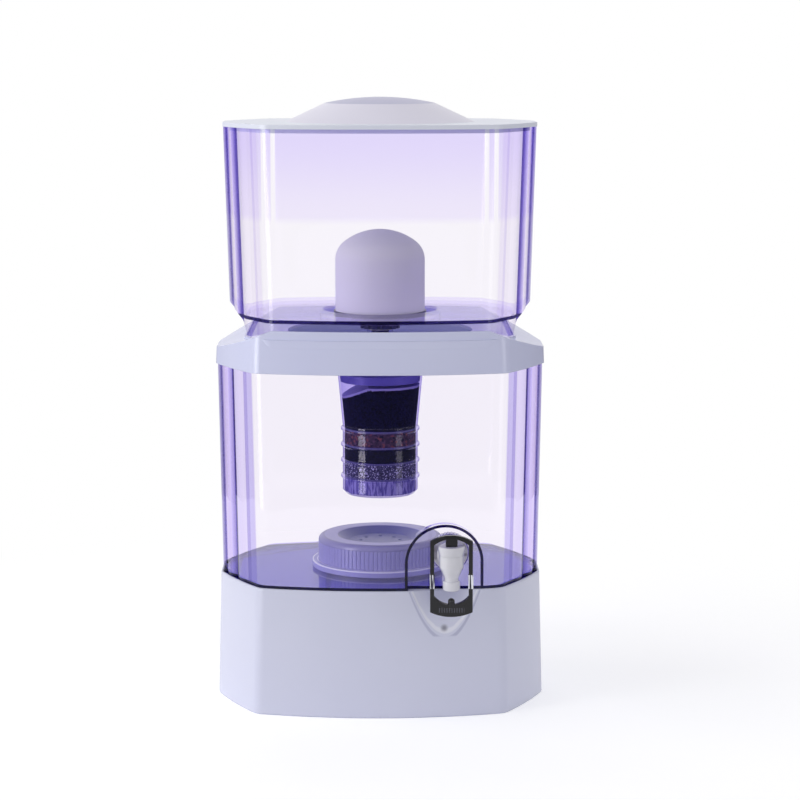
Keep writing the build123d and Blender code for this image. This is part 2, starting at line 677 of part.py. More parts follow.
def layer(bottom, top):
    """Solid that fills the cup between two heights above its foot."""
    gap = CUP_WALL + FIT_CLEARANCE
    heights = [bottom] + [h for h in [CUP_STRAIGHT] if bottom < h < top] + [top]
    points = [(0, bottom)] + [(cup_radius(h) - gap, h) for h in heights] + [(0, top)]
    return Pos(0, 0, CARTRIDGE_BOTTOM) * turned(points)


def ring_height(number):
    return RING_FIRST + number * RING_SPACING


def make_separator_pads():
    """Thin felt pads between the filter layers, one behind each ring of the cup."""
    half = PAD_THICKNESS / 2
    return [layer(ring_height(n) - half, ring_height(n) + half) for n in range(RING_COUNT)]


def bed(number):
    """Filter layer between two neighbouring pads."""
    half = PAD_THICKNESS / 2
    return layer(ring_height(number) + half, ring_height(number + 1) - half)


def make_foam_pad():
    return layer(CUP_FLOOR, RING_FIRST - PAD_THICKNESS / 2)


def make_silica_sand():
    return bed(0)


def make_carbon_lower():
    return bed(1)


def make_mineral_balls():
    return bed(2)


def make_carbon_upper():
    """Deep carbon bed whose top falls away towards the left wall."""
    body = layer(ring_height(RING_COUNT - 1) + PAD_THICKNESS / 2, CARBON_TOP_HIGH)
    low, high = CARTRIDGE_BOTTOM + CARBON_TOP_LOW, CARTRIDGE_BOTTOM + CARBON_TOP_HIGH
    wall = CUP_MOUTH_RADIUS
    fallen = [(-wall, low), (CARBON_SLOPE_END, high), (CARBON_SLOPE_END, high + 1), (-wall, high + 1)]
    return body - front_prism(fallen, -wall, wall)


def make_cartridge_screen():
    """Perforated dish pressed into the cup above the carbon."""
    screen = layer(SCREEN_HEIGHT, SCREEN_HEIGHT + SCREEN_RIM)
    bottom = CARTRIDGE_BOTTOM + SCREEN_HEIGHT
    inside = cup_radius(SCREEN_HEIGHT) - CUP_WALL - FIT_CLEARANCE - SCREEN_RIM_WALL
    screen -= disc(inside, bottom + SCREEN_THICKNESS, SCREEN_RIM)
    for radius in SCREEN_HOLE_RINGS:
        screen -= around(disc(CUP_DRAIN_RADIUS, bottom, SCREEN_THICKNESS, x=radius), SCREEN_HOLES)
    return screen


def make_cartridge_cap():
    """White cap screwed over the cup's mouth; its neck turns on the dome's stem."""
    skirt_radius = CUP_MOUTH_RADIUS + FIT_CLEARANCE + CAP_WALL
    bottom = CUP_RIM - CAP_SKIRT
    cap = disc(skirt_radius, bottom, CAP_SKIRT + CAP_PLATE)
    cap -= disc(CUP_MOUTH_RADIUS + FIT_CLEARANCE, bottom, CAP_SKIRT)
    cap += disc(CAP_NECK_RADIUS, CUP_RIM, CAP_NECK_TOP - CUP_RIM)
    cap -= disc(STEM_RADIUS + FIT_CLEARANCE, CUP_RIM, CAP_NECK_TOP - CUP_RIM)
    rib = disc(CAP_RIB_DEPTH, bottom, CAP_SKIRT + CAP_PLATE, x=skirt_radius)
    return cap - around(rib, CAP_RIBS)


def make_cartridge_seal():
    return ring(CAP_NECK_RADIUS, STEM_RADIUS + FIT_CLEARANCE, CAP_NECK_TOP, SEAL_THICKNESS)


# ---------------------------------------------------------------- stone case

def make_case_tray():
    """Round foot of the stone case: a flange and a spigot that the cap screws over."""
    tray = disc(CASE_FLANGE_RADIUS, LOWER_INSIDE, CASE_FLANGE)
    spigot_radius = CASE_RADIUS - CASE_WALL - NEST_CLEARANCE
    tray += disc(spigot_radius, LOWER_INSIDE, CASE_FLANGE + CASE_SPIGOT)
    inside = spigot_radius - CASE_WALL
    return tray - disc(inside, LOWER_INSIDE + CASE_WALL, CASE_FLANGE + CASE_SPIGOT)


def make_case_cap():
    """Ribbed cap with a rounded shoulder and a perforated crater in its top."""
    start = LOWER_INSIDE + CASE_FLANGE
    outer = case_form(start, 0)
    outer -= case_form(start, CASE_WALL)
    floor = CASE_TOP - CRATER_DEPTH
    hole = disc(CRATER_HOLE_RADIUS, floor - CASE_WALL, CASE_WALL, x=CRATER_HOLE_RING)
    outer -= around(hole, CRATER_HOLES)
    rib = disc(CASE_RIB_RADIUS, start, CASE_RIB_LENGTH, x=CASE_RADIUS + CASE_RIB_OUT)
    return outer - around(rib, CASE_RIBS)


def case_form(start, wall):
    """Turned form of the cap; a wall above zero gives the hollow inside it."""
    top = CASE_TOP - wall
    floor = top - CRATER_DEPTH
    points = [
        (0, start),
        (CASE_RADIUS - wall, start),
        (CASE_RADIUS - wall, top),
        (CRATER_RADIUS + wall, top),
        (CRATER_FLOOR_RADIUS + wall, floor),
        (0, floor),
    ]
    return turned(points, rounds=((2, CASE_SHOULDER - wall), (3, CASE_WALL)))


def make_mineral_stones():
    """Loose ring of ceramic balls in the case, under the crater's rim."""
    inside = CASE_RADIUS - 2 * CASE_WALL - NEST_CLEARANCE
    middle = inside - STONE_RADIUS - SOFT_CLEARANCE
    height = LOWER_INSIDE + CASE_WALL + STONE_RADIUS
    stone = Pos(middle, 0, height) * Sphere(STONE_RADIUS)
    return around(stone, STONE_COUNT)


# ---------------------------------------------------------------- tap

def make_tap_body():
    """Spout, valve chamber and threaded shank of the tap in one moulding."""
    neck_top = BONNET_UNDERSIDE - FIT_CLEARANCE
    neck_foot = BONNET_TOP - BONNET_HEIGHT
    bottom = SHANK_Z - SPOUT_LENGTH
    ring_top = bottom + SPOUT_RING
    seat = VALVE_SEAT
    points = [
        (0, bottom),
        (SPOUT_RADIUS, bottom),
        (SPOUT_RADIUS, ring_top),
        (SPOUT_NECK_RADIUS, ring_top),
        (SPOUT_NECK_RADIUS, ring_top + SPOUT_NECK),
        (BULB_RADIUS, seat + BULB_ABOVE_SEAT),
        (BULB_RADIUS, neck_foot),
        (BONNET_NECK_RADIUS, neck_foot),
        (BONNET_NECK_RADIUS, neck_top),
        (0, neck_top),
    ]
    rounds = ((1, SPOUT_FOOT_ROUND), (2, SPOUT_RING_ROUND), (4, BULB_FOOT_ROUND), (5, BULB_ROUND))
    body = turned(points, TAP_X, VALVE_Y, rounds)
    shank_end = RECESS_WALL_Y + SHANK_INSIDE
    flange_back = RECESS_WALL_Y - WASHER_THICKNESS
    body += along_y(SHANK_RADIUS, VALVE_Y, shank_end, TAP_X, SHANK_Z)
    body += along_y(FLANGE_RADIUS, flange_back - FLANGE_THICKNESS, flange_back, TAP_X, SHANK_Z)
    body -= disc(CHAMBER_RADIUS, seat, neck_top - seat, TAP_X, VALVE_Y)
    body -= disc(SEAT_RADIUS, seat - SEAT_THICKNESS, SEAT_THICKNESS, TAP_X, VALVE_Y)
    body -= disc(SPOUT_BORE, bottom, seat - SEAT_THICKNESS - bottom, TAP_X, VALVE_Y)
    return body - along_y(SHANK_BORE, VALVE_Y, shank_end, TAP_X, SHANK_Z)


def make_tap_bonnet():
    """Screw cap of the valve chamber; the valve stem slides through it."""
    bottom = BONNET_TOP - BONNET_HEIGHT
    hole = VALVE_STEM_RADIUS + FIT_CLEARANCE
    thread = BONNET_NECK_RADIUS + FIT_CLEARANCE
    points = [
        (hole, BONNET_UNDERSIDE),
        (thread, BONNET_UNDERSIDE),
        (thread, bottom),
        (BULB_RADIUS, bottom),
        (BONNET_RADIUS, BONNET_UNDERSIDE),
        (BONNET_RADIUS, BONNET_TOP),
        (hole, BONNET_TOP),
    ]
    return turned(points, TAP_X, VALVE_Y, rounds=((4, BONNET_FOOT_ROUND), (5, BONNET_TOP_ROUND)))


def across_x(radius, width, y, z):
    """Cylinder along X, centred on the tap."""
    return Pos(TAP_X, y, z) * Rot(0, 90, 0) * Cylinder(radius, width)


def make_tap_stem():
    """Valve stem: round rod, flatted at its head, with a pierced eye for the handle's pin."""
    foot = VALVE_SEAT + PLUG_HEIGHT
    flats = BONNET_TOP - TANG_START
    stem = disc(VALVE_STEM_RADIUS, foot, flats - foot, TAP_X, VALVE_Y)
    slab = Pos(TAP_X, VALVE_Y, PIN_Z) * Box(TANG_WIDTH, 2 * VALVE_STEM_RADIUS, 2 * (PIN_Z - flats))
    stem += disc(VALVE_STEM_RADIUS, flats, PIN_Z - flats, TAP_X, VALVE_Y) & slab
    stem += across_x(TANG_RADIUS, TANG_WIDTH, VALVE_Y, PIN_Z)
    return stem - across_x(PIN_RADIUS + FIT_CLEARANCE, TANG_WIDTH, VALVE_Y, PIN_Z)


def make_tap_plug():
    """Soft plug on the stem's foot that closes the valve seat."""
    top = VALVE_SEAT + PLUG_HEIGHT
    bevel_top = VALVE_SEAT + PLUG_BEVEL
    points = [(0, VALVE_SEAT), (PLUG_RADIUS - PLUG_BEVEL, VALVE_SEAT), (PLUG_RADIUS, bevel_top)]
    points += [(PLUG_RADIUS, top), (0, top)]
    return turned(points, TAP_X, VALVE_Y)


def make_tap_spring():
    """Coil spring between the plug and the bonnet."""
    low = VALVE_SEAT + PLUG_HEIGHT + SPRING_WIRE + FIT_CLEARANCE
    high = BONNET_UNDERSIDE - SPRING_WIRE - FIT_CLEARANCE
    path = Helix((high - low) / SPRING_TURNS, high - low, SPRING_RADIUS)
    wire = sweep(Plane(path @ 0, z_dir=path % 0) * Circle(SPRING_WIRE), path, is_frenet=True)
    return Pos(TAP_X, VALVE_Y, low) * wire


def tap_washer(radius, start):
    """Flat washer round the tap's shank, its front face at start."""
    end = start + WASHER_THICKNESS
    hole = along_y(SHANK_RADIUS + FIT_CLEARANCE, start, end, TAP_X, SHANK_Z)
    return along_y(radius, start, end, TAP_X, SHANK_Z) - hole


def make_tap_washer_outer():
    return tap_washer(FLANGE_RADIUS, RECESS_WALL_Y - WASHER_THICKNESS)


def make_tap_washer_inner():
    return tap_washer(TAP_NUT_RADIUS - INNER_WASHER_INSET, RECESS_WALL_Y + TANK_WALL)


def make_tap_nut():
    """Knurled nut that clamps the tap from inside the tank."""
    start = RECESS_WALL_Y + TANK_WALL + WASHER_THICKNESS
    nut = disc(TAP_NUT_RADIUS, 0, TAP_NUT_HEIGHT)
    knurl = disc(TAP_NUT_KNURL_RADIUS, 0, TAP_NUT_HEIGHT, x=TAP_NUT_RADIUS + TAP_NUT_KNURL_OUT)
    nut -= around(knurl, TAP_NUT_KNURLS)
    nut -= disc(SHANK_RADIUS + FIT_CLEARANCE, 0, TAP_NUT_HEIGHT)
    return Pos(TAP_X, start, SHANK_Z) * Rot(-90, 0, 0) * nut


# ---------------------------------------------------------------- tap handle

def loop_face(half, top, shoulder, foot, bottom):
    """Upright face with an arched top and a sagging bottom, centred on the tap."""
    section = ThreePointArc((-half, shoulder), (0, top), (half, shoulder))
    section += Line((half, shoulder), (half, foot))
    section += ThreePointArc((half, foot), (0, bottom), (-half, foot))
    section += Line((-half, foot), (-half, shoulder))
    return Pos(TAP_X, VALVE_Y, 0) * (Plane.XZ * make_face(section.edges()))


def rail(width, depth, bottom, top):
    """Upright bar of the loop with its own width and depth, on both sides."""
    middle = (HANDLE_WIDTH - HANDLE_RAIL) / 2
    height = top - bottom
    bar = Pos(TAP_X, VALVE_Y, (bottom + top) / 2) * Box(width, depth, height)
    return [Pos(side * middle, 0, 0) * bar for side in (-1, 1)]


def make_tap_handle():
    """Black loop with the block that the pin passes, a push bar below and a knob on it."""
    half = HANDLE_WIDTH / 2
    shoulder, foot = HANDLE_TOP - HANDLE_ARCH, HANDLE_BOTTOM + HANDLE_BAR_SAG
    outer = loop_face(half, HANDLE_TOP, shoulder, foot, HANDLE_BOTTOM)
    bar_top = HANDLE_BOTTOM + HANDLE_BAR
    inner_top = HANDLE_TOP - HANDLE_TOP_BAR
    inner = loop_face(
        half - HANDLE_RAIL, inner_top, inner_top - HANDLE_ARCH, bar_top + HANDLE_BAR_HOLLOW, bar_top
    )
    handle = extrude(outer - inner, amount=HANDLE_DEPTH / 2, dir=(0, 1, 0), both=True)
    block_bottom = BONNET_TOP + BLOCK_GAP
    block = Box(BLOCK_WIDTH, BLOCK_DEPTH, BLOCK_HEIGHT)
    handle += Pos(TAP_X, VALVE_Y, block_bottom + BLOCK_HEIGHT / 2) * block
    slot_depth = BLOCK_DEPTH - BLOCK_FRONT_WALL
    slot_height = BLOCK_HEIGHT - BLOCK_ROOF
    slot = Pos(TAP_X, VALVE_Y + BLOCK_FRONT_WALL / 2, block_bottom + slot_height / 2)
    handle -= slot * Box(BLOCK_SLOT, slot_depth, slot_height)
    handle -= across_x(PIN_RADIUS + FIT_CLEARANCE, BLOCK_WIDTH, VALVE_Y, PIN_Z)
    knob_height = HANDLE_KNOB_RISE - HANDLE_KNOB_RADIUS
    knob = disc(HANDLE_KNOB_RADIUS, bar_top - HANDLE_BAR / 2, HANDLE_BAR / 2 + knob_height, TAP_X, VALVE_Y)
    knob += Pos(TAP_X, VALVE_Y, bar_top + knob_height) * Sphere(HANDLE_KNOB_RADIUS)
    return handle + knob


def make_handle_trim():
    """Two bright sleeves on the loop's side rails."""
    bottom = HANDLE_BOTTOM + TRIM_RISE
    top = bottom + TRIM_LENGTH
    fit = 2 * FIT_CLEARANCE
    sleeves = rail(HANDLE_RAIL + fit + 2 * TRIM_WALL, HANDLE_DEPTH + fit + 2 * TRIM_WALL, bottom, top)
    holes = rail(HANDLE_RAIL + fit, HANDLE_DEPTH + fit, bottom, top)
    return [sleeve - hole for sleeve, hole in zip(sleeves, holes)]


def make_handle_pin():
    return across_x(PIN_RADIUS, BLOCK_WIDTH, VALVE_Y, PIN_Z)


NODES = {
    "base": make_base,
    "lower_tank": make_lower_tank,
    "collar": make_collar,
    "upper_tank": make_upper_tank,
    "lid": make_lid,
    "ceramic_dome": make_ceramic_dome,
    "dome_dish": make_dome_dish,
    "dome_gasket": make_dome_gasket,
    "stem_washer": make_stem_washer,
    "stem_nut": make_stem_nut,
    "cartridge_seal": make_cartridge_seal,
    "cartridge_cap": make_cartridge_cap,
    "cartridge_cup": make_cartridge_cup,
    "cartridge_screen": make_cartridge_screen,
    "carbon_upper": make_carbon_upper,
    "mineral_balls": make_mineral_balls,
    "carbon_lower": make_carbon_lower,
    "silica_sand": make_silica_sand,
    "separator_pads": make_separator_pads,
    "foam_pad": make_foam_pad,
    "case_tray": make_case_tray,
    "case_cap": make_case_cap,
    "mineral_stones": make_mineral_stones,
    "tap_body": make_tap_body,
    "tap_bonnet": make_tap_bonnet,
    "tap_washer_outer": make_tap_washer_outer,
    "tap_washer_inner": make_tap_washer_inner,
    "tap_nut": make_tap_nut,
    "tap_stem": make_tap_stem,
    "tap_plug": make_tap_plug,
    "tap_spring": make_tap_spring,
    "tap_handle": make_tap_handle,
    "handle_trim": make_handle_trim,
    "handle_pin": make_handle_pin,
}


def write_nodes():
    """Each node as its own STEP file; a list of solids is written as one group."""
    os.makedirs("parts", exist_ok=True)
    for node, make in NODES.items():
        shape = make()
        if isinstance(shape, list):
            shape = Compound(children=[solid for piece in shape for solid in piece.solids()])
        print(node, len(shape.solids()), round(shape.volume / 1000, 2), "cm3")
        export_step(shape, f"parts/{node}.step")


write_nodes()
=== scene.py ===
import math

import bmesh
import bpy
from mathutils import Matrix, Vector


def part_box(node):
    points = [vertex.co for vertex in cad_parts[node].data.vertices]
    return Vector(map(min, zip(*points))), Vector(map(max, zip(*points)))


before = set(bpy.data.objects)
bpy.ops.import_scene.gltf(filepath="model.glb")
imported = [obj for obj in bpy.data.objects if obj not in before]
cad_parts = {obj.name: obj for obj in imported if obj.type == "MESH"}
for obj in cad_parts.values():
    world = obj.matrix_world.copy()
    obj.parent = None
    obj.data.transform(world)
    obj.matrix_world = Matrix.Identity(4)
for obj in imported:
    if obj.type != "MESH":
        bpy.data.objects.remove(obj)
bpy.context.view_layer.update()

# Looks of a two-tank gravity water filter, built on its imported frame.  Metres, front towards -Y.
scene = bpy.context.scene


# ---------------------------------------------------------------- camera

FOCAL_PIXELS = 2350.0
IMAGE_PIXELS = 800.0
SENSOR = 36.0
CAMERA_DISTANCE = 2.35
CAMERA_HEIGHT = 0.64685
CAMERA_DOWN = 8.471
CAMERA_YAW = 0.488


def make_camera():
    """Long lens in front of the filter, looking slightly down."""
    data = bpy.data.cameras.new("camera")
    data.sensor_width = SENSOR
    data.lens = SENSOR * FOCAL_PIXELS / IMAGE_PIXELS
    camera = bpy.data.objects.new("camera", data)
    camera.location = (0, -CAMERA_DISTANCE, CAMERA_HEIGHT)
    camera.rotation_euler = (math.radians(90 - CAMERA_DOWN), 0, -math.radians(CAMERA_YAW))
    scene.collection.objects.link(camera)
    scene.camera = camera


# ---------------------------------------------------------------- node helpers

LEVEL_START = 0.6
LEVEL_END = 0.8


class Shade:
    """A material's or world's node tree, with short calls for the nodes that this scene uses."""

    def __init__(self, owner):
        owner.use_nodes = True
        self.output = "OutputWorld" if isinstance(owner, bpy.types.World) else "OutputMaterial"
        self.tree = owner.node_tree
        self.tree.nodes.clear()

    def node(self, kind, **inputs):
        made = self.tree.nodes.new("ShaderNode" + kind)
        for name, value in inputs.items():
            self.put(made, name, value)
        return made

    def put(self, node, name, value):
        """Set or link an input, named with _ for a space, or i and its number."""
        key = int(name[1:]) if name[0] == "i" and name[1:].isdigit() else name.replace("_", " ")
        socket = node.inputs[key]
        if isinstance(value, bpy.types.NodeSocket):
            self.tree.links.new(value, socket)
        else:
            socket.default_value = value

    def coords(self):
        return self.node("TexCoord").outputs["Object"]

    def xyz(self, vector=None):
        split = self.node("SeparateXYZ", Vector=self.coords() if vector is None else vector)
        return split.outputs["X"], split.outputs["Y"], split.outputs["Z"]

    def join(self, x, y, z):
        return self.node("CombineXYZ", X=x, Y=y, Z=z).outputs[0]

    def math(self, operation, a, b=0.0, c=0.0, clamp=False):
        made = self.tree.nodes.new("ShaderNodeMath")
        made.operation = operation
        made.use_clamp = clamp
        self.put(made, "i0", a)
        self.put(made, "i1", b)
        self.put(made, "i2", c)
        return made.outputs[0]

    def reach(self, a, b):
        """Length of the hypotenuse over a and b."""
        squares = self.math("ADD", self.math("POWER", a, 2.0), self.math("POWER", b, 2.0))
        return self.math("SQRT", squares)

    def reach_from(self, x_place, y_place):
        """Distance of a point from an upright axis."""
        x, y, z = self.xyz()
        return self.reach(self.math("SUBTRACT", x, x_place), self.math("SUBTRACT", y, y_place))

    def between(self, value, low, high):
        """0 below low, 1 above high, smooth between them."""
        made = self.tree.nodes.new("ShaderNodeMapRange")
        made.interpolation_type = "SMOOTHSTEP"
        self.put(made, "Value", value)
        self.put(made, "From_Min", low)
        self.put(made, "From_Max", high)
        return made.outputs[0]

    def band(self, value, low, high, soft):
        """1 from low to high, fading to 0 within soft outside them."""
        rise = self.between(value, low - soft, low)
        fall = self.between(value, high, high + soft)
        return self.math("SUBTRACT", rise, fall, clamp=True)

    def blend(self, factor, a, b, kind="MIX"):
        made = self.tree.nodes.new("ShaderNodeMix")
        made.data_type = "RGBA"
        made.blend_type = kind
        self.put(made, "i0", factor)
        self.put(made, "i6", a)
        self.put(made, "i7", b)
        return made.outputs[2]

    def ramp(self, value, stops):
        """Colours over a value from 0 to 1, from (place, colour) stops."""
        made = self.node("ValToRGB", Fac=value)
        elements = made.color_ramp.elements
        while len(elements) < len(stops):
            elements.new(1.0)
        for element, (place, colour) in zip(elements, stops):
            element.position = place
            element.color = colour
        return made.outputs["Color"]

    def noise(self, scale, detail=2.0, vector=None):
        vector = self.coords() if vector is None else vector
        return self.node("TexNoise", Vector=vector, Scale=scale, Detail=detail).outputs["Fac"]

    def drift(self, scale, detail, dark, light):
        """Colour that wanders between two close ones."""
        return self.blend(self.noise(scale, detail), dark, light)

    def uneven(self, scale, detail, spread, base):
        """Value that wanders from base up to base plus spread."""
        return self.math("MULTIPLY_ADD", self.noise(scale, detail), spread, base)

    def bump(self, height, strength, distance, normal=None):
        made = self.node("Bump", Height=height, Strength=strength, Distance=distance)
        if normal is not None:
            self.put(made, "Normal", normal)
        return made.outputs["Normal"]

    def bevel(self, radius):
        """Normal that rounds the edges of a shape."""
        return self.node("Bevel", Radius=radius).outputs[0]

    def facing(self):
        """0 where a surface is seen squarely, 1 where it is seen edge-on."""
        return self.node("LayerWeight", Blend=0.5).outputs["Facing"]

    def outside(self):
        """1 on the outer skin of a tank, seen from outside; 0 on its inner faces and far walls."""
        face = self.node("NewGeometry").outputs
        x, y, z = self.xyz()
        dot = self.tree.nodes.new("ShaderNodeVectorMath")
        dot.operation = "DOT_PRODUCT"
        self.put(dot, "i0", face["Normal"])
        self.put(dot, "i1", self.join(x, y, 0.0))
        outward = self.math("GREATER_THAN", dot.outputs["Value"], 0.0)
        return self.math("MULTIPLY", outward, self.math("SUBTRACT", 1.0, face["Backfacing"]))

    def level(self):
        """1 on level faces such as a tank's floor, 0 on upright ones."""
        x, y, z = self.xyz(self.node("NewGeometry").outputs["Normal"])
        return self.between(self.math("ABSOLUTE", z), LEVEL_START, LEVEL_END)

    def mix_out(self, share, first, second):
        """Output of two shaders, with the second's share."""
        self.out(self.node("MixShader", i0=share, i1=first.outputs[0], i2=second.outputs[0]))

    def solid(self, colour, roughness, **others):
        """Opaque surface as the output."""
        self.out(self.node("BsdfPrincipled", Base_Color=colour, Roughness=roughness, **others))

    def out(self, surface):
        self.node(self.output, Surface=surface.outputs[0])


def rgb(red, green, blue):
    """Linear colour of an sRGB one given from 0 to 255."""
    parts = [value / 255 for value in (red, green, blue)]
    return tuple(c / 12.92 if c <= 0.04045 else ((c + 0.055) / 1.055) ** 2.4 for c in parts) + (1.0,)


def new_material(name):
    material = bpy.data.materials.new(name)
    return material, Shade(material)


# ---------------------------------------------------------------- room

AMBIENT = 0.42
BELOW_HORIZON = 0.10
HORIZON_LOW = -0.05
HORIZON_HIGH = 0.03
TABLE_RADIUS = 1.1
TABLE_SEGMENTS = 128
TABLE_LIFT = 0.36
TABLE_FADE_START = 0.35
TABLE_FADE_END = 0.80
TABLE_DARK = rgb(244, 244, 247)
TABLE_LIGHT = rgb(249, 249, 251)
WHITE = (1.0, 1.0, 1.0, 1.0)


def make_world():
    """White for the camera and through glass; gloss sees white above the table and a dark room below it."""
    scene.world = bpy.data.worlds.new("studio")
    shade = Shade(scene.world)
    path = shade.node("LightPath").outputs
    direct = shade.math("ADD", path["Is Camera Ray"], path["Is Transmission Ray"], clamp=True)
    plain = shade.math("MULTIPLY_ADD", direct, 1 - AMBIENT, AMBIENT)
    up = shade.xyz(shade.node("TexCoord").outputs["Generated"])[2]
    above = shade.between(up, HORIZON_LOW, HORIZON_HIGH)
    glossy = shade.math("MULTIPLY_ADD", above, 1 - BELOW_HORIZON, BELOW_HORIZON)
    is_gloss = path["Is Glossy Ray"]
    strength = shade.math("MULTIPLY", plain, shade.math("SUBTRACT", 1.0, is_gloss))
    strength = shade.math("MULTIPLY_ADD", glossy, is_gloss, strength)
    shade.out(shade.node("Background", Color=WHITE, Strength=strength))


def floor_material():
    """Pale matte near the object, for its shadow, and plain white further out."""
    material, shade = new_material("floor")
    far = shade.between(shade.reach_from(0.0, 0.0), TABLE_FADE_START, TABLE_FADE_END)
    matte = shade.node("BsdfDiffuse", Color=shade.drift(3.0, 4.0, TABLE_DARK, TABLE_LIGHT))
    path = shade.node("LightPath").outputs
    seen = shade.math("ADD", path["Is Camera Ray"], path["Is Transmission Ray"])
    seen = shade.math("ADD", seen, path["Is Glossy Ray"], clamp=True)
    lift = shade.node("Emission", Color=WHITE, Strength=shade.math("MULTIPLY", seen, TABLE_LIFT))
    near = shade.node("AddShader", i0=matte.outputs[0], i1=lift.outputs[0])
    strength = shade.math("MULTIPLY_ADD", seen, 1 - AMBIENT, AMBIENT)
    shade.mix_out(far, near, shade.node("Emission", Color=WHITE, Strength=strength))
    return material


def make_floor():
    """Round table top at height 0."""
    mesh = bpy.data.meshes.new("floor")
    shape = bmesh.new()
    bmesh.ops.create_circle(shape, cap_ends=True, radius=TABLE_RADIUS, segments=TABLE_SEGMENTS)
    shape.to_mesh(mesh)
    shape.free()
    floor = bpy.data.objects.new("floor", mesh)
    scene.collection.objects.link(floor)
    mesh.materials.append(floor_material())


PLAIN_LIGHT = (1.0, 1.0, 1.0)
COOL_LIGHT = (0.92, 0.92, 1.0)
LAMP_DISTANCE = 2.4
# Upright softboxes: name, degrees to the left of the front, height, width and height of the box,
# power, colour, and whether it only shows in gloss
SOFTBOXES = [
    ("key", 59.0, 0.8, 1.0, 1.6, 18.0, PLAIN_LIGHT, False),
    ("side", 92.0, 0.8, 1.2, 1.6, 13.0, PLAIN_LIGHT, False),
    ("fill", -59.0, 0.8, 1.0, 1.6, 6.5, COOL_LIGHT, False),
    ("back", 178.0, 0.9, 2.0, 1.6, 12.0, PLAIN_LIGHT, False),
    ("left_strip", 58.5, 0.5, 0.95, 1.8, 30.0, PLAIN_LIGHT, True),
    ("right_strip", -60.5, 0.5, 0.90, 1.8, 9.0, PLAIN_LIGHT, True),
]
TOP_FORWARD = 0.1
TOP_HEIGHT = 2.4
TOP_WIDTH = 2.0
TOP_POWER = 8.0


def lamp(name, place, turn, size, power, colour=PLAIN_LIGHT, in_gloss=False):
    """Rectangular lamp that lights surfaces, or that only shows in gloss."""
    data = bpy.data.lights.new(name, "AREA")
    data.shape = "RECTANGLE"
    data.size, data.size_y = size
    data.energy = power
    data.color = colour
    made = bpy.data.objects.new(name, data)
    made.location = place
    made.rotation_euler = turn
    scene.collection.objects.link(made)
    made.visible_camera = False
    made.visible_transmission = False
    made.visible_glossy = in_gloss
    made.visible_diffuse = not in_gloss
    made.visible_volume_scatter = False


def make_lamps():
    for name, azimuth, height, wide, tall, power, colour, in_gloss in SOFTBOXES:
        turn = math.radians(azimuth)
        place = (-LAMP_DISTANCE * math.sin(turn), -LAMP_DISTANCE * math.cos(turn), height)
        lamp(name, place, (math.radians(90), 0, -turn), (wide, tall), power, colour, in_gloss)
    lamp("top", (0, -TOP_FORWARD, TOP_HEIGHT), (0, 0, 0), (TOP_WIDTH, TOP_WIDTH), TOP_POWER)


# ---------------------------------------------------------------- clear plastic

CLEAR_UPPER = (0.992, 0.987, 1.0, 1.0)
CLEAR_LOWER = (0.984, 0.976, 0.997, 1.0)
CLEAR_CUP = (0.84, 0.81, 0.97, 1.0)
CLEAR_CAP = (0.86, 0.84, 0.95, 1.0)
NAVY = (0.012, 0.006, 0.075, 1.0)
SOFT_NAVY = (0.060, 0.050, 0.180, 1.0)
EDGE = rgb(240, 236, 254)

# Corner between side and chamfer, and the chamfer's direction, as in the tanks' plan
SIDE_CORNER_Y = 0.025
CHAMFER_TURN = math.radians(61.7)

# Painted shade round the fluted ends, in darker bands and lines where light refracts through the flutes and
# paler bands between: (start, end, colour at the start, colour at the end), in millimetres from the corner
# between side and chamfer
UPPER_FLUTE_SHADE = [
    (-24.0, -11.4, rgb(250, 248, 255), rgb(240, 237, 255)),
    (-11.4, -9.8, rgb(176, 166, 228), rgb(176, 166, 228)),
    (-9.8, -4.0, rgb(250, 248, 255), rgb(236, 232, 252)),
    (-4.0, 7.5, rgb(226, 222, 246), rgb(140, 130, 194)),
    (7.5, 22.0, rgb(254, 252, 255), rgb(248, 242, 255)),
    (22.0, 29.0, rgb(226, 216, 255), rgb(130, 116, 200)),
    (29.0, 33.0, rgb(110, 96, 178), rgb(106, 92, 172)),
    (33.0, 66.0, rgb(250, 246, 255), rgb(252, 248, 255)),
    (66.0, 71.0, rgb(236, 229, 250), rgb(236, 229, 250)),
    (71.0, 79.0, rgb(249, 244, 255), rgb(249, 244, 255)),
    (81.0, 100.0, rgb(255, 254, 255), rgb(255, 254, 255)),
]
LOWER_FLUTE_SHADE = [
    (-24.0, -11.4, rgb(250, 248, 255), rgb(240, 237, 255)),
    (-11.4, -9.8, rgb(176, 166, 228), rgb(176, 166, 228)),
    (-9.8, -7.0, rgb(250, 248, 255), rgb(240, 236, 254)),
    (-7.0, 9.0, rgb(226, 221, 250), rgb(116, 106, 176)),
    (9.0, 26.0, rgb(238, 228, 255), rgb(226, 213, 255)),
    (26.0, 37.0, rgb(214, 202, 255), rgb(100, 86, 180)),
    (37.0, 42.5, rgb(82, 68, 156), rgb(62, 48, 134)),
    (42.5, 62.0, rgb(232, 224, 255), rgb(238, 231, 255)),
    (62.0, 69.0, rgb(194, 184, 236), rgb(190, 180, 236)),
    (69.0, 79.0, rgb(216, 208, 250), rgb(216, 208, 248)),
    (81.0, 100.0, rgb(255, 254, 255), rgb(255, 254, 255)),
]
MILLIMETRES = 1000
RAMP_START = -0.025
RAMP_SPAN = 0.125
BAND_GAP = 0.0004


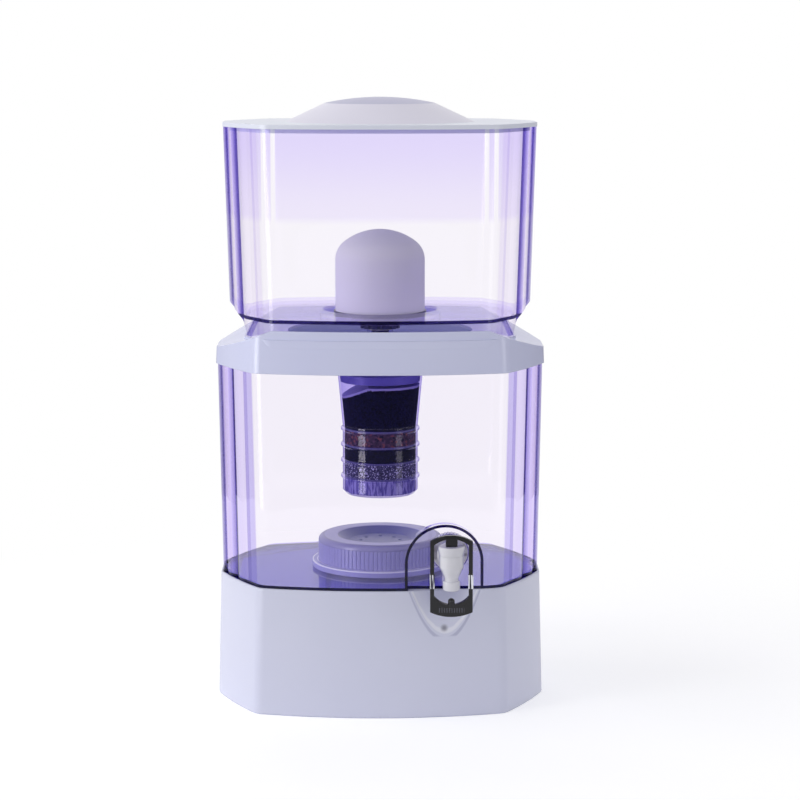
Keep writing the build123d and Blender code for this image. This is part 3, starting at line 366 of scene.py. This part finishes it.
def flute_shade(shade, bands, low, high, half_low, half_high):
    """Painted shade round the fluted end of a tank that widens from half_low at height low to half_high at
    high.
    """
    x, y, z = shade.xyz()
    slope = (half_high - half_low) / (high - low)
    half = shade.math("MULTIPLY_ADD", z, slope, half_low - low * slope)
    across = shade.math("SUBTRACT", half, shade.math("ABSOLUTE", x))
    along = shade.math("SUBTRACT", shade.math("ABSOLUTE", y), SIDE_CORNER_Y)
    place = shade.math("MULTIPLY", across, math.cos(CHAMFER_TURN))
    place = shade.math("MULTIPLY_ADD", along, math.sin(CHAMFER_TURN), place)
    share = shade.math("MULTIPLY_ADD", place, 1 / RAMP_SPAN, -RAMP_START / RAMP_SPAN)
    stops = []
    for start, end, first, last in bands:
        stops.append(((start / MILLIMETRES - RAMP_START + BAND_GAP) / RAMP_SPAN, first))
        stops.append(((end / MILLIMETRES - RAMP_START - BAND_GAP) / RAMP_SPAN, last))
    return shade.ramp(share, stops)


INNER_GLOSS = 0.01
OUTER_GLOSS = 0.20
FLOOR_GLOSS = 0.40
FLOOR_CAP = (FLOOR_GLOSS, FLOOR_GLOSS, FLOOR_GLOSS, 1.0)
GLOSS_POWER = 5.0
SQUARE_GLOSS = 0.02
EDGE_POWER = 4.0
ABOVE_ALL = 9.0
WAVE_STRENGTH = 0.25
WAVE_DEPTH = 0.0006


def gloss_share(shade, facing, outer, glaze, plain_above):
    """Share of light that a face reflects: little when seen squarely, more at a grazing view."""
    gloss = shade.math("MULTIPLY_ADD", shade.math("POWER", facing, GLOSS_POWER), 1 - glaze, glaze)
    low = shade.math("LESS_THAN", shade.xyz()[2], plain_above)
    skin_cap = shade.math("MULTIPLY_ADD", outer, OUTER_GLOSS - INNER_GLOSS, INNER_GLOSS)
    cap = shade.blend(shade.level(), shade.math("MULTIPLY", skin_cap, low), FLOOR_CAP)
    return shade.math("MINIMUM", gloss, cap)


def thin_plastic(name, clear, edge, paint=None, glaze=SQUARE_GLOSS, edge_power=EDGE_POWER,
                 plain_above=ABOVE_ALL):
    """Clear plastic: each face tints what lies behind it, and the outer skin deepens towards its outline.

    glaze is the share of light that a face reflects when seen squarely.  Upright faces reflect up to
    OUTER_GLOSS outside and INNER_GLOSS inside, level ones up to FLOOR_GLOSS.  Upright faces higher
    than plain_above don't reflect.
    """
    material, shade = new_material(name)
    facing = shade.facing()
    outer = shade.outside()
    deeper = shade.math("MULTIPLY", shade.math("POWER", facing, edge_power), outer)
    passing_colour = shade.blend(deeper, clear, edge)
    if paint:
        passing_colour = paint(shade, passing_colour, outer)
    normal = shade.bump(shade.noise(7.0), WAVE_STRENGTH, WAVE_DEPTH)
    rough = shade.uneven(90.0, 3.0, 0.03, 0.012)
    passing = shade.node("BsdfTransparent", Color=passing_colour)
    mirror = shade.node("BsdfGlossy", Color=WHITE, Roughness=rough, Normal=normal)
    shade.mix_out(gloss_share(shade, facing, outer, glaze, plain_above), passing, mirror)
    return material


# Half widths of the tanks at the bottom and the top, and their floors, as in the CAD model
UPPER_HALF_LOW = 0.1485
UPPER_HALF_HIGH = 0.1544
LOWER_HALF_LOW = 0.1585
LOWER_HALF_HIGH = 0.1622
UPPER_FLOOR_Z = 0.3900
UPPER_FLOOR_THICK = 0.0030
LOWER_FLOOR_Z = 0.1287
LOWER_FLOOR_THICK = 0.0036
# Painted shade as a dark line along each floor's edge
FLOOR_LINE_SOFT = 0.0004
# Painted shade on the floors' level faces, in deeper violet
UPPER_FLOOR_SHADE = (0.78, 0.72, 0.99, 1.0)
LOWER_FLOOR_SHADE = (0.50, 0.45, 0.93, 1.0)

# Painted shade that turns the upper tank's upper half lavender, and the pale upright lines left free of it
# as painted highlights
SHADE_STEP_Z = 0.485
SHADE_STEP_LOW = 0.004
SHADE_STEP_HIGH = 0.006
PAINTED_SHADE_STEP = (0.920, 0.890, 1.0, 1.0)
PAINTED_SHADE_RISE = (0.880, 0.850, 1.0, 1.0)
HIGHLIGHT_LINES = (0.1018, 0.1112)
HIGHLIGHT_HALF = 0.0018
HIGHLIGHT_SOFT = 0.0008

# Painted shade as a dark line round the tap's arch in the lower tank's front
ARCH_X = 0.0622
ARCH_RADIUS = 0.0357
ARCH_TOP = 0.1885
ARCH_LINE = 0.0026
ARCH_SOFT = 0.0003
ARCH_FRONT_Y = -0.09


def painted_shade_share(shade, x, outer):
    """1 on the outer skin, where the painted shade goes; 0 inside and on the pale lines left as painted
    highlights.
    """
    aside = shade.math("ABSOLUTE", x)
    first, second = [
        shade.band(aside, line - HIGHLIGHT_HALF, line + HIGHLIGHT_HALF, HIGHLIGHT_SOFT)
        for line in HIGHLIGHT_LINES
    ]
    plain = shade.math("SUBTRACT", 1.0, shade.math("MAXIMUM", first, second))
    return shade.math("MULTIPLY", plain, outer)


def paint_upper(shade, passing_colour, outer):
    """Painted shade on the fluted ends, the upper half (lavender, with pale lines left as painted
    highlights), along the floor's edge and on the floor itself.
    """
    low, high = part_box("upper_tank")
    x, y, z = shade.xyz()
    bands = flute_shade(shade, UPPER_FLUTE_SHADE, low.z, high.z, UPPER_HALF_LOW, UPPER_HALF_HIGH)
    # Painted shade in bands round the fluted ends, on the outer skin
    passing_colour = shade.blend(outer, passing_colour, bands, "MULTIPLY")
    shaded_skin = painted_shade_share(shade, x, outer)
    # Painted shade: lavender that steps in at mid-height and deepens towards the top, except on the pale
    # lines of painted highlight
    step = shade.between(z, SHADE_STEP_Z - SHADE_STEP_LOW, SHADE_STEP_Z + SHADE_STEP_HIGH)
    passing_colour = shade.blend(shade.math("MULTIPLY", step, shaded_skin), passing_colour, PAINTED_SHADE_STEP, "MULTIPLY")
    rise = shade.between(z, SHADE_STEP_Z, high.z)
    passing_colour = shade.blend(shade.math("MULTIPLY", rise, shaded_skin), passing_colour, PAINTED_SHADE_RISE, "MULTIPLY")
    line = shade.band(z, UPPER_FLOOR_Z - UPPER_FLOOR_THICK, UPPER_FLOOR_Z, FLOOR_LINE_SOFT)
    # Painted shade: soft navy line along the floor's edge
    passing_colour = shade.blend(shade.math("MULTIPLY", line, outer), passing_colour, SOFT_NAVY)
    # Painted shade on the floor's level faces
    return shade.blend(shade.level(), passing_colour, UPPER_FLOOR_SHADE)


def arch_line(shade, x, y, z):
    """1 on the painted shade line round the tap's arch in the front wall."""
    above = shade.math("MAXIMUM", shade.math("SUBTRACT", z, ARCH_TOP - ARCH_RADIUS), 0.0)
    reach = shade.reach(shade.math("SUBTRACT", x, ARCH_X), above)
    arch = shade.band(reach, ARCH_RADIUS, ARCH_RADIUS + ARCH_LINE, ARCH_SOFT)
    return shade.math("MULTIPLY", arch, shade.math("LESS_THAN", y, ARCH_FRONT_Y))


def paint_lower(shade, passing_colour, outer):
    """Painted shade on the fluted ends, as dark lines along the floor's edge and round the tap's arch, and
    on the floor itself.
    """
    low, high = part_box("lower_tank")
    x, y, z = shade.xyz()
    bands = flute_shade(shade, LOWER_FLUTE_SHADE, low.z, high.z, LOWER_HALF_LOW, LOWER_HALF_HIGH)
    # Painted shade in bands round the fluted ends, on the outer skin
    passing_colour = shade.blend(outer, passing_colour, bands, "MULTIPLY")
    line = shade.band(z, LOWER_FLOOR_Z - LOWER_FLOOR_THICK, LOWER_FLOOR_Z, FLOOR_LINE_SOFT)
    lines = shade.math("MAXIMUM", line, arch_line(shade, x, y, z))
    # Painted shade: navy lines along the floor's edge and round the tap's arch
    passing_colour = shade.blend(shade.math("MULTIPLY", lines, outer), passing_colour, NAVY)
    # Painted shade on the floor's level faces
    return shade.blend(shade.level(), passing_colour, LOWER_FLOOR_SHADE)


# ---------------------------------------------------------------- plain plastics and metals

PEEL_SCALE = 60.0
PEEL_DEPTH = 0.0002
PEEL_STRENGTH = 0.05
ROUGH_SPREAD = 0.08
DRIFT_SCALE = 9.0
DRIFT_DETAIL = 3.0
PLASTIC_IOR = 1.5
SATIN_IOR = 1.45


def moulded(name, dark, light, roughness, scale=PEEL_SCALE, bump=PEEL_STRENGTH, edge=0.0, ior=PLASTIC_IOR):
    """Opaque moulded plastic with slight colour drift, fine orange peel and softened edges."""
    material, shade = new_material(name)
    colour = shade.drift(DRIFT_SCALE, DRIFT_DETAIL, dark, light)
    peel = shade.noise(scale, 3.0)
    rough = shade.math("MULTIPLY_ADD", peel, ROUGH_SPREAD, roughness)
    normal = shade.bump(peel, bump, PEEL_DEPTH, shade.bevel(edge) if edge else None)
    shade.solid(colour, rough, IOR=ior, Normal=normal)
    return material


def milky(name, colour, edge, roughness, clear_share):
    """Milky plastic or silicone that lets part of the light through and deepens towards its outline."""
    material, shade = new_material(name)
    base = shade.drift(40.0, 2.0, colour, rgb(250, 250, 255))
    facing = shade.facing()
    base = shade.blend(shade.between(facing, 0.45, 0.95), base, edge)
    opaque = shade.node("BsdfPrincipled", Base_Color=base, Roughness=roughness, IOR=PLASTIC_IOR,
                        Normal=shade.bevel(0.0008))
    passing = shade.node("BsdfTransparent", Color=rgb(240, 238, 250))
    share = shade.math("SUBTRACT", 1.0, shade.math("POWER", facing, 2.0))
    shade.mix_out(shade.math("MULTIPLY", share, clear_share), opaque, passing)
    return material


def metal(name, colour, roughness):
    """Plain metal with slightly uneven polish."""
    material, shade = new_material(name)
    shade.solid(colour, shade.uneven(240.0, 2.0, 0.12, roughness), Metallic=1.0)
    return material


def sleeve_metal(name):
    """Bright sleeve with painted reflections: dark and light stripes along its length, as polished plating
    shows them.
    """
    material, shade = new_material(name)
    x, y, z = shade.xyz()
    # Painted reflections as stripes along the sleeve
    share = shade.noise(900.0, 1.0, shade.join(x, y, shade.math("MULTIPLY", z, 0.05)))
    colour = shade.blend(shade.between(share, 0.42, 0.56), rgb(52, 50, 66), rgb(222, 224, 232))
    shade.solid(colour, 0.14, Metallic=1.0)
    return material


# ---------------------------------------------------------------- filter layers

GRAIN_STRENGTH = 0.8
GRAIN_DEPTH = 0.0006
GRAIN_IOR = 1.2
RARE_START = 0.86

# Height above which the cup's wall hardly reflects, and the slope of the carbon's upper edge
CUP_CONE_Z = 0.2730
CARBON_TOP = 0.3138
CARBON_LOW = 0.2988
CARBON_LEFT = -0.0458
CARBON_SLOPE = 0.444
CARBON_SCALE = 900.0
CARBON_DEPTH = 0.0005
CARBON_IOR = 1.15
RAGGED_SCALE = 700.0
RAGGED_DEEP = 0.0040
RAGGED_LEAST = 0.0002


def granules(name, dark, light, size, rare=None):
    """Packed grains of a given size, each with its own shade; rare is the colour of a few of them."""
    material, shade = new_material(name)
    cells = shade.node("TexVoronoi", Vector=shade.coords(), Scale=1 / size)
    tone, pick, other = shade.xyz(cells.outputs["Color"])
    colour = shade.blend(tone, dark, light)
    if rare:
        colour = shade.blend(shade.math("GREATER_THAN", pick, RARE_START), colour, rare)
    normal = shade.bump(cells.outputs["Distance"], GRAIN_STRENGTH, GRAIN_DEPTH)
    shade.solid(colour, 0.6, IOR=GRAIN_IOR, Normal=normal)
    return material


def carbon_bed():
    """Fine black carbon whose upper edge catches the light in pale, ragged grains."""
    material, shade = new_material("carbon")
    cells = shade.node("TexVoronoi", Vector=shade.coords(), Scale=CARBON_SCALE)
    tone = shade.xyz(cells.outputs["Color"])[0]
    colour = shade.blend(tone, rgb(8, 9, 28), rgb(28, 29, 64))
    x, y, z = shade.xyz()
    slope = shade.math("MULTIPLY_ADD", x, CARBON_SLOPE, CARBON_LOW - CARBON_LEFT * CARBON_SLOPE)
    below = shade.math("SUBTRACT", shade.math("MINIMUM", slope, CARBON_TOP), z)
    ragged = shade.uneven(RAGGED_SCALE, 2.0, RAGGED_DEEP, RAGGED_LEAST)
    colour = shade.blend(shade.math("LESS_THAN", below, ragged), colour, rgb(206, 200, 232))
    normal = shade.bump(cells.outputs["Distance"], GRAIN_STRENGTH, CARBON_DEPTH)
    shade.solid(colour, 0.7, IOR=CARBON_IOR, Normal=normal)
    return material


def frosted_foam():
    """Pale foam with upright streaks, as the cup's ribbed foot shows it."""
    material, shade = new_material("foam")
    x, y, z = shade.xyz()
    share = shade.noise(420.0, 2.0, shade.join(x, y, shade.math("MULTIPLY", z, 0.2)))
    colour = shade.blend(shade.between(share, 0.38, 0.62), rgb(118, 112, 170), rgb(196, 192, 226))
    shade.solid(colour, 0.7, IOR=GRAIN_IOR, Normal=shade.bump(share, 0.4, 0.0004))
    return material


# ---------------------------------------------------------------- stand

STAND_DARK = rgb(217, 219, 241)
STAND_LIGHT = rgb(224, 226, 246)
STAND_EDGE = 0.003
STAND_FRONT_Y = -0.095

# The scoop under the tap is part of an upright cone in front of the stand, as in the CAD model
SCOOP_AXIS = (0.0795, -0.2328)
SCOOP_TIP = 0.0820
SCOOP_TIP_RADIUS = 0.1182
SCOOP_SLOPE = 0.154
SCOOP_X = 0.0622
SCOOP_TOP = 0.125
# Painted shade inside the scoop and beside its edge, and a painted highlight along its rounded edge
SCOOP_SHADE = rgb(172, 174, 206)
SCOOP_HIGHLIGHT = rgb(240, 241, 255)
SHADE_START = 0.0012
SHADE_END = 0.0060
LINE_START = 0.0004
LINE_END = 0.0007
LINE_SOFT = 0.0003

# Bowed front of the stand
FRONT_RADIUS = 0.450
FRONT_FOOT = -0.1220
FRONT_SLOPE = 0.022

# Painted shade as a dark spot at the scoop's foot
SPOT_RISE = 0.0070
SPOT_START = 0.0005
SPOT_RADIUS = 0.0050
SPOT_SHADE = rgb(150, 150, 166)


def scoop_colour(shade, colour, on_front):
    """Painted shade inside the scoop, a painted highlight along its rounded edge and a thin line of painted
    shade beside it.
    """
    x, y, z = shade.xyz()
    cone = shade.math("MULTIPLY_ADD", z, SCOOP_SLOPE, SCOOP_TIP_RADIUS - SCOOP_TIP * SCOOP_SLOPE)
    beyond = shade.math("SUBTRACT", shade.reach_from(*SCOOP_AXIS), cone)
    sag = shade.math("DIVIDE", shade.math("POWER", x, 2.0), 2 * FRONT_RADIUS)
    front = shade.math("ADD", shade.math("MULTIPLY_ADD", z, FRONT_SLOPE, FRONT_FOOT), sag)
    inward = shade.math("SUBTRACT", y, front)
    scooped = shade.math("MULTIPLY", on_front, shade.math("LESS_THAN", beyond, LINE_START))
    shaded = shade.math("MULTIPLY", scooped, shade.between(inward, SHADE_START, SHADE_END))
    colour = shade.blend(shade.math("MULTIPLY", shaded, 0.75), colour, SCOOP_SHADE)
    # Painted shade as a thin line beside the scoop's edge
    outer_shade_line = shade.math("MULTIPLY", on_front, shade.band(beyond, LINE_START, LINE_END, LINE_SOFT))
    outer_shade_line = shade.math("MULTIPLY", outer_shade_line, shade.band(z, SCOOP_TIP, SCOOP_TOP, 0.002))
    outer_shade_line = shade.math("MULTIPLY", outer_shade_line, shade.math("GREATER_THAN", x, 0.0))
    colour = shade.blend(shade.math("MULTIPLY", outer_shade_line, 0.6), colour, SCOOP_SHADE)
    # Painted highlight along the scoop's rounded edge
    highlight_line = shade.math("MULTIPLY", scooped, shade.band(inward, LINE_START, LINE_END, LINE_SOFT))
    return shade.blend(highlight_line, colour, SCOOP_HIGHLIGHT)


def spot_shade(shade, colour, on_front):
    """Painted shade as a dark spot at the foot of the scoop."""
    x, y, z = shade.xyz()
    drop = shade.math("SUBTRACT", z, SCOOP_TIP + SPOT_RISE)
    reach = shade.reach(drop, shade.math("SUBTRACT", x, SCOOP_X))
    spot = shade.math("SUBTRACT", 1.0, shade.between(reach, SPOT_START, SPOT_RADIUS))
    return shade.blend(shade.math("MULTIPLY", spot, on_front), colour, SPOT_SHADE)


def stand_plastic():
    """White plastic of the stand, with painted shade and a painted highlight at the scoop below the tap."""
    material, shade = new_material("stand_plastic")
    on_front = shade.math("LESS_THAN", shade.xyz()[1], STAND_FRONT_Y)
    colour = shade.drift(DRIFT_SCALE, DRIFT_DETAIL, STAND_DARK, STAND_LIGHT)
    colour = scoop_colour(shade, colour, on_front)
    colour = spot_shade(shade, colour, on_front)
    peel = shade.noise(PEEL_SCALE, 3.0)
    rough = shade.math("MULTIPLY_ADD", peel, ROUGH_SPREAD, 0.2)
    normal = shade.bump(peel, PEEL_STRENGTH, PEEL_DEPTH, shade.bevel(STAND_EDGE))
    shade.solid(colour, rough, IOR=PLASTIC_IOR, Normal=normal)
    return material


# ---------------------------------------------------------------- lid and stone case

LID_CONE = 0.0940
LID_CROWN = 0.0550
LID_RIM_Z = 0.5769

CASE_RIB_START = 0.0632
CASE_RIB_END = 0.0637
CASE_RIB_DEEP = 0.0006
CRATER_RADIUS = 0.0440
CRATER_TOP = 0.1588
SHOULDER_RADIUS = 0.0575
SHOULDER_DROP = 0.006
GAP_DROP = 0.0055
LIP_START = 0.0680
LIP_END = 0.0695
LIP_Z = 0.1330


def lid_plastic():
    """White plastic of the lid, satin: cool rim, warmer cone, and a crown greyed by painted shade."""
    material, shade = new_material("lid_plastic")
    z = shade.xyz()[2]
    radius = shade.reach_from(0.0, 0.0)
    colour = shade.drift(DRIFT_SCALE, DRIFT_DETAIL, rgb(234, 238, 255), rgb(240, 243, 255))
    raised = shade.math("GREATER_THAN", z, LID_RIM_Z)
    domed = shade.math("MULTIPLY", shade.math("LESS_THAN", radius, LID_CONE), raised)
    colour = shade.blend(domed, colour, rgb(237, 234, 250))
    # Painted shade greys the crown
    crowned = shade.math("MULTIPLY", domed, shade.math("LESS_THAN", radius, LID_CROWN))
    colour = shade.blend(crowned, colour, rgb(192, 190, 220))
    shade.solid(colour, shade.uneven(DRIFT_SCALE, 2.0, 0.04, 0.34), IOR=PLASTIC_IOR)
    return material


def case_cap_colour(shade, colour, radius, z):
    """Painted shade that darkens the crater and the shoulder of the stone case's cap."""
    crater = shade.math("LESS_THAN", radius, CRATER_RADIUS)
    crater = shade.math("MULTIPLY", crater, shade.math("LESS_THAN", z, CRATER_TOP))
    colour = shade.blend(crater, colour, rgb(98, 99, 172))
    shoulder = shade.band(radius, SHOULDER_RADIUS, CASE_RIB_START - 0.0003, 0.001)
    shoulder = shade.math("MULTIPLY", shoulder, shade.math("GREATER_THAN", z, CRATER_TOP - SHOULDER_DROP))
    return shade.blend(shade.math("MULTIPLY", shoulder, 0.7), colour, rgb(128, 124, 178))


def case_side_colour(shade, colour, radius, z):
    """Painted shade in the gaps between the ribs round the stone case, painted highlights on the rib tips,
    and a painted highlight along the lip of its tray.
    """
    # Painted shade in the gaps between ribs
    gap = shade.band(radius, CASE_RIB_START - CASE_RIB_DEEP, CASE_RIB_START, 0.0002)
    gap = shade.math("MULTIPLY", gap, shade.math("LESS_THAN", z, CRATER_TOP - GAP_DROP))
    colour = shade.blend(gap, colour, rgb(158, 154, 214))
    # Painted highlights on the rib tips
    tip = shade.band(radius, CASE_RIB_END, CASE_RIB_END + CASE_RIB_DEEP, 0.0004)
    colour = shade.blend(tip, colour, rgb(240, 238, 255))
    # Painted highlight along the tray's lip
    lip = shade.band(radius, LIP_START, LIP_END, 0.0004)
    lip = shade.math("MULTIPLY", lip, shade.math("GREATER_THAN", z, LIP_Z))
    return shade.blend(lip, colour, rgb(236, 234, 255))


def case_plastic():
    """Lavender plastic of the stone case."""
    material, shade = new_material("case_plastic")
    z = shade.xyz()[2]
    radius = shade.reach_from(0.0, 0.0)
    colour = shade.drift(12.0, 3.0, rgb(160, 156, 214), rgb(170, 166, 224))
    colour = case_cap_colour(shade, colour, radius, z)
    colour = case_side_colour(shade, colour, radius, z)
    rough = shade.uneven(PEEL_SCALE, 2.0, ROUGH_SPREAD, 0.26)
    shade.solid(colour, rough, IOR=SATIN_IOR, Normal=shade.bevel(0.0008))
    return material


# ---------------------------------------------------------------- tap

HANDLE_X = 0.068
HANDLE_EDGE = 0.0009
BAR_RIBS_LOW = 0.1135
BAR_RIBS_HIGH = 0.1175
BAR_RIBS_REACH = 0.0125
BAR_RIB_PITCH = 0.0024
BAR_RIB_DEPTH = 0.0005

SHANK_Z = 0.1610
NUT_KNURL_START = 0.0182
NUT_KNURL_END = 0.0189


def handle_plastic():
    """Black plastic of the handle, with fine upright ribs across the push bar and polished edges."""
    material, shade = new_material("handle_plastic")
    x, y, z = shade.xyz()
    aside = shade.math("SUBTRACT", x, HANDLE_X)
    ribbed = shade.band(z, BAR_RIBS_LOW, BAR_RIBS_HIGH, 0.0004)
    reach = shade.math("ABSOLUTE", aside)
    ribbed = shade.math("MULTIPLY", ribbed, shade.math("LESS_THAN", reach, BAR_RIBS_REACH))
    wave = shade.math("SINE", shade.math("MULTIPLY", aside, 2 * math.pi / BAR_RIB_PITCH))
    ribs = shade.math("MULTIPLY", ribbed, shade.between(wave, -0.2, 0.6))
    colour = shade.drift(30.0, 3.0, rgb(8, 8, 13), rgb(18, 18, 26))
    colour = shade.blend(shade.math("MULTIPLY", ribs, 0.6), colour, rgb(96, 96, 112))
    normal = shade.bump(ribs, 0.6, BAR_RIB_DEPTH, shade.bevel(HANDLE_EDGE))
    shade.solid(colour, 0.16, IOR=SATIN_IOR, Normal=normal)
    return material


def nut_plastic():
    """Pale plastic of the nut behind the tap, with painted shade in violet along the groove between its
    knurls.
    """
    material, shade = new_material("nut_plastic")
    x, y, z = shade.xyz()
    radius = shade.reach(shade.math("SUBTRACT", x, HANDLE_X), shade.math("SUBTRACT", z, SHANK_Z))
    colour = shade.drift(40.0, 2.0, rgb(208, 204, 236), rgb(224, 222, 246))
    # Painted shade in the groove
    groove = shade.band(radius, NUT_KNURL_START - 0.0005, NUT_KNURL_END - 0.0004, 0.0003)
    shade.solid(shade.blend(groove, colour, rgb(120, 112, 184)), 0.22, IOR=SATIN_IOR)
    return material


# ---------------------------------------------------------------- dressing

def dress(material, *nodes):
    """Put a material on every slot of the named nodes."""
    for node in nodes:
        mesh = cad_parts[node].data
        if not mesh.materials:
            mesh.materials.append(material)
        for place in range(len(mesh.materials)):
            mesh.materials[place] = material


def dress_clear():
    """Tanks, and the cartridge's cup and cap."""
    dress(thin_plastic("upper_plastic", CLEAR_UPPER, EDGE, paint_upper), "upper_tank")
    dress(thin_plastic("lower_plastic", CLEAR_LOWER, EDGE, paint_lower), "lower_tank")
    cup = thin_plastic("cup_plastic", CLEAR_CUP, rgb(150, 140, 214), glaze=0.03, edge_power=2.5,
                       plain_above=CUP_CONE_Z)
    dress(cup, "cartridge_cup")
    dress(thin_plastic("cap_plastic", CLEAR_CAP, rgb(120, 112, 180)), "cartridge_cap")


def dress_shells():
    """Opaque shells, the ceramic dome and the seals."""
    dress(moulded("screen_plastic", rgb(120, 112, 190), rgb(136, 128, 204), 0.3), "cartridge_screen")
    dress(lid_plastic(), "lid")
    dress(stand_plastic(), "base")
    dress(moulded("collar_plastic", rgb(219, 222, 255), rgb(226, 229, 255), 0.2, edge=0.0012), "collar")
    ceramic = moulded("ceramic", rgb(218, 214, 234), rgb(228, 224, 243), 0.75, scale=700.0, bump=0.25)
    dress(ceramic, "ceramic_dome")
    dress(moulded("dark_plastic", rgb(36, 32, 84), rgb(46, 42, 96), 0.25), "dome_dish", "stem_nut")
    dress(milky("silicone", rgb(214, 214, 226), rgb(170, 166, 206), 0.4, 0.2),
          "dome_gasket", "stem_washer", "cartridge_seal", "tap_washer_outer", "tap_washer_inner", "tap_plug")
    dress(case_plastic(), "case_tray", "case_cap")


def dress_layers():
    """Filter layers in the cartridge and the stones in the case."""
    dress(carbon_bed(), "carbon_upper", "carbon_lower")
    balls = granules("balls", rgb(44, 36, 56), rgb(112, 82, 94), 0.0022, rare=rgb(146, 88, 84))
    dress(balls, "mineral_balls")
    sand = granules("sand", rgb(44, 44, 62), rgb(112, 112, 132), 0.0010, rare=rgb(226, 226, 236))
    dress(sand, "silica_sand")
    felt = moulded("felt", rgb(92, 88, 130), rgb(112, 108, 150), 0.8, scale=900.0, bump=0.4)
    dress(felt, "separator_pads")
    dress(frosted_foam(), "foam_pad")
    dress(granules("stones", rgb(170, 166, 164), rgb(210, 206, 200), 0.004), "mineral_stones")


def dress_tap():
    dress(milky("tap_plastic", rgb(246, 246, 254), rgb(182, 178, 220), 0.12, 0.22), "tap_body", "tap_bonnet")
    dress(nut_plastic(), "tap_nut")
    dress(handle_plastic(), "tap_handle")
    dress(moulded("black_plastic", rgb(6, 6, 10), rgb(13, 13, 18), 0.15, ior=1.33), "tap_stem")
    dress(sleeve_metal("bright_metal"), "handle_trim")
    dress(metal("steel", rgb(170, 172, 180), 0.24), "handle_pin", "tap_spring")


# ---------------------------------------------------------------- build

make_camera()
make_world()
make_floor()
make_lamps()
dress_clear()
dress_shells()
dress_layers()
dress_tap()

# Enough bounces for light through both walls of a tank, the cup and what it holds
scene.view_settings.view_transform = "Standard"
scene.cycles.max_bounces = 16
scene.cycles.glossy_bounces = 6
scene.cycles.transparent_max_bounces = 48
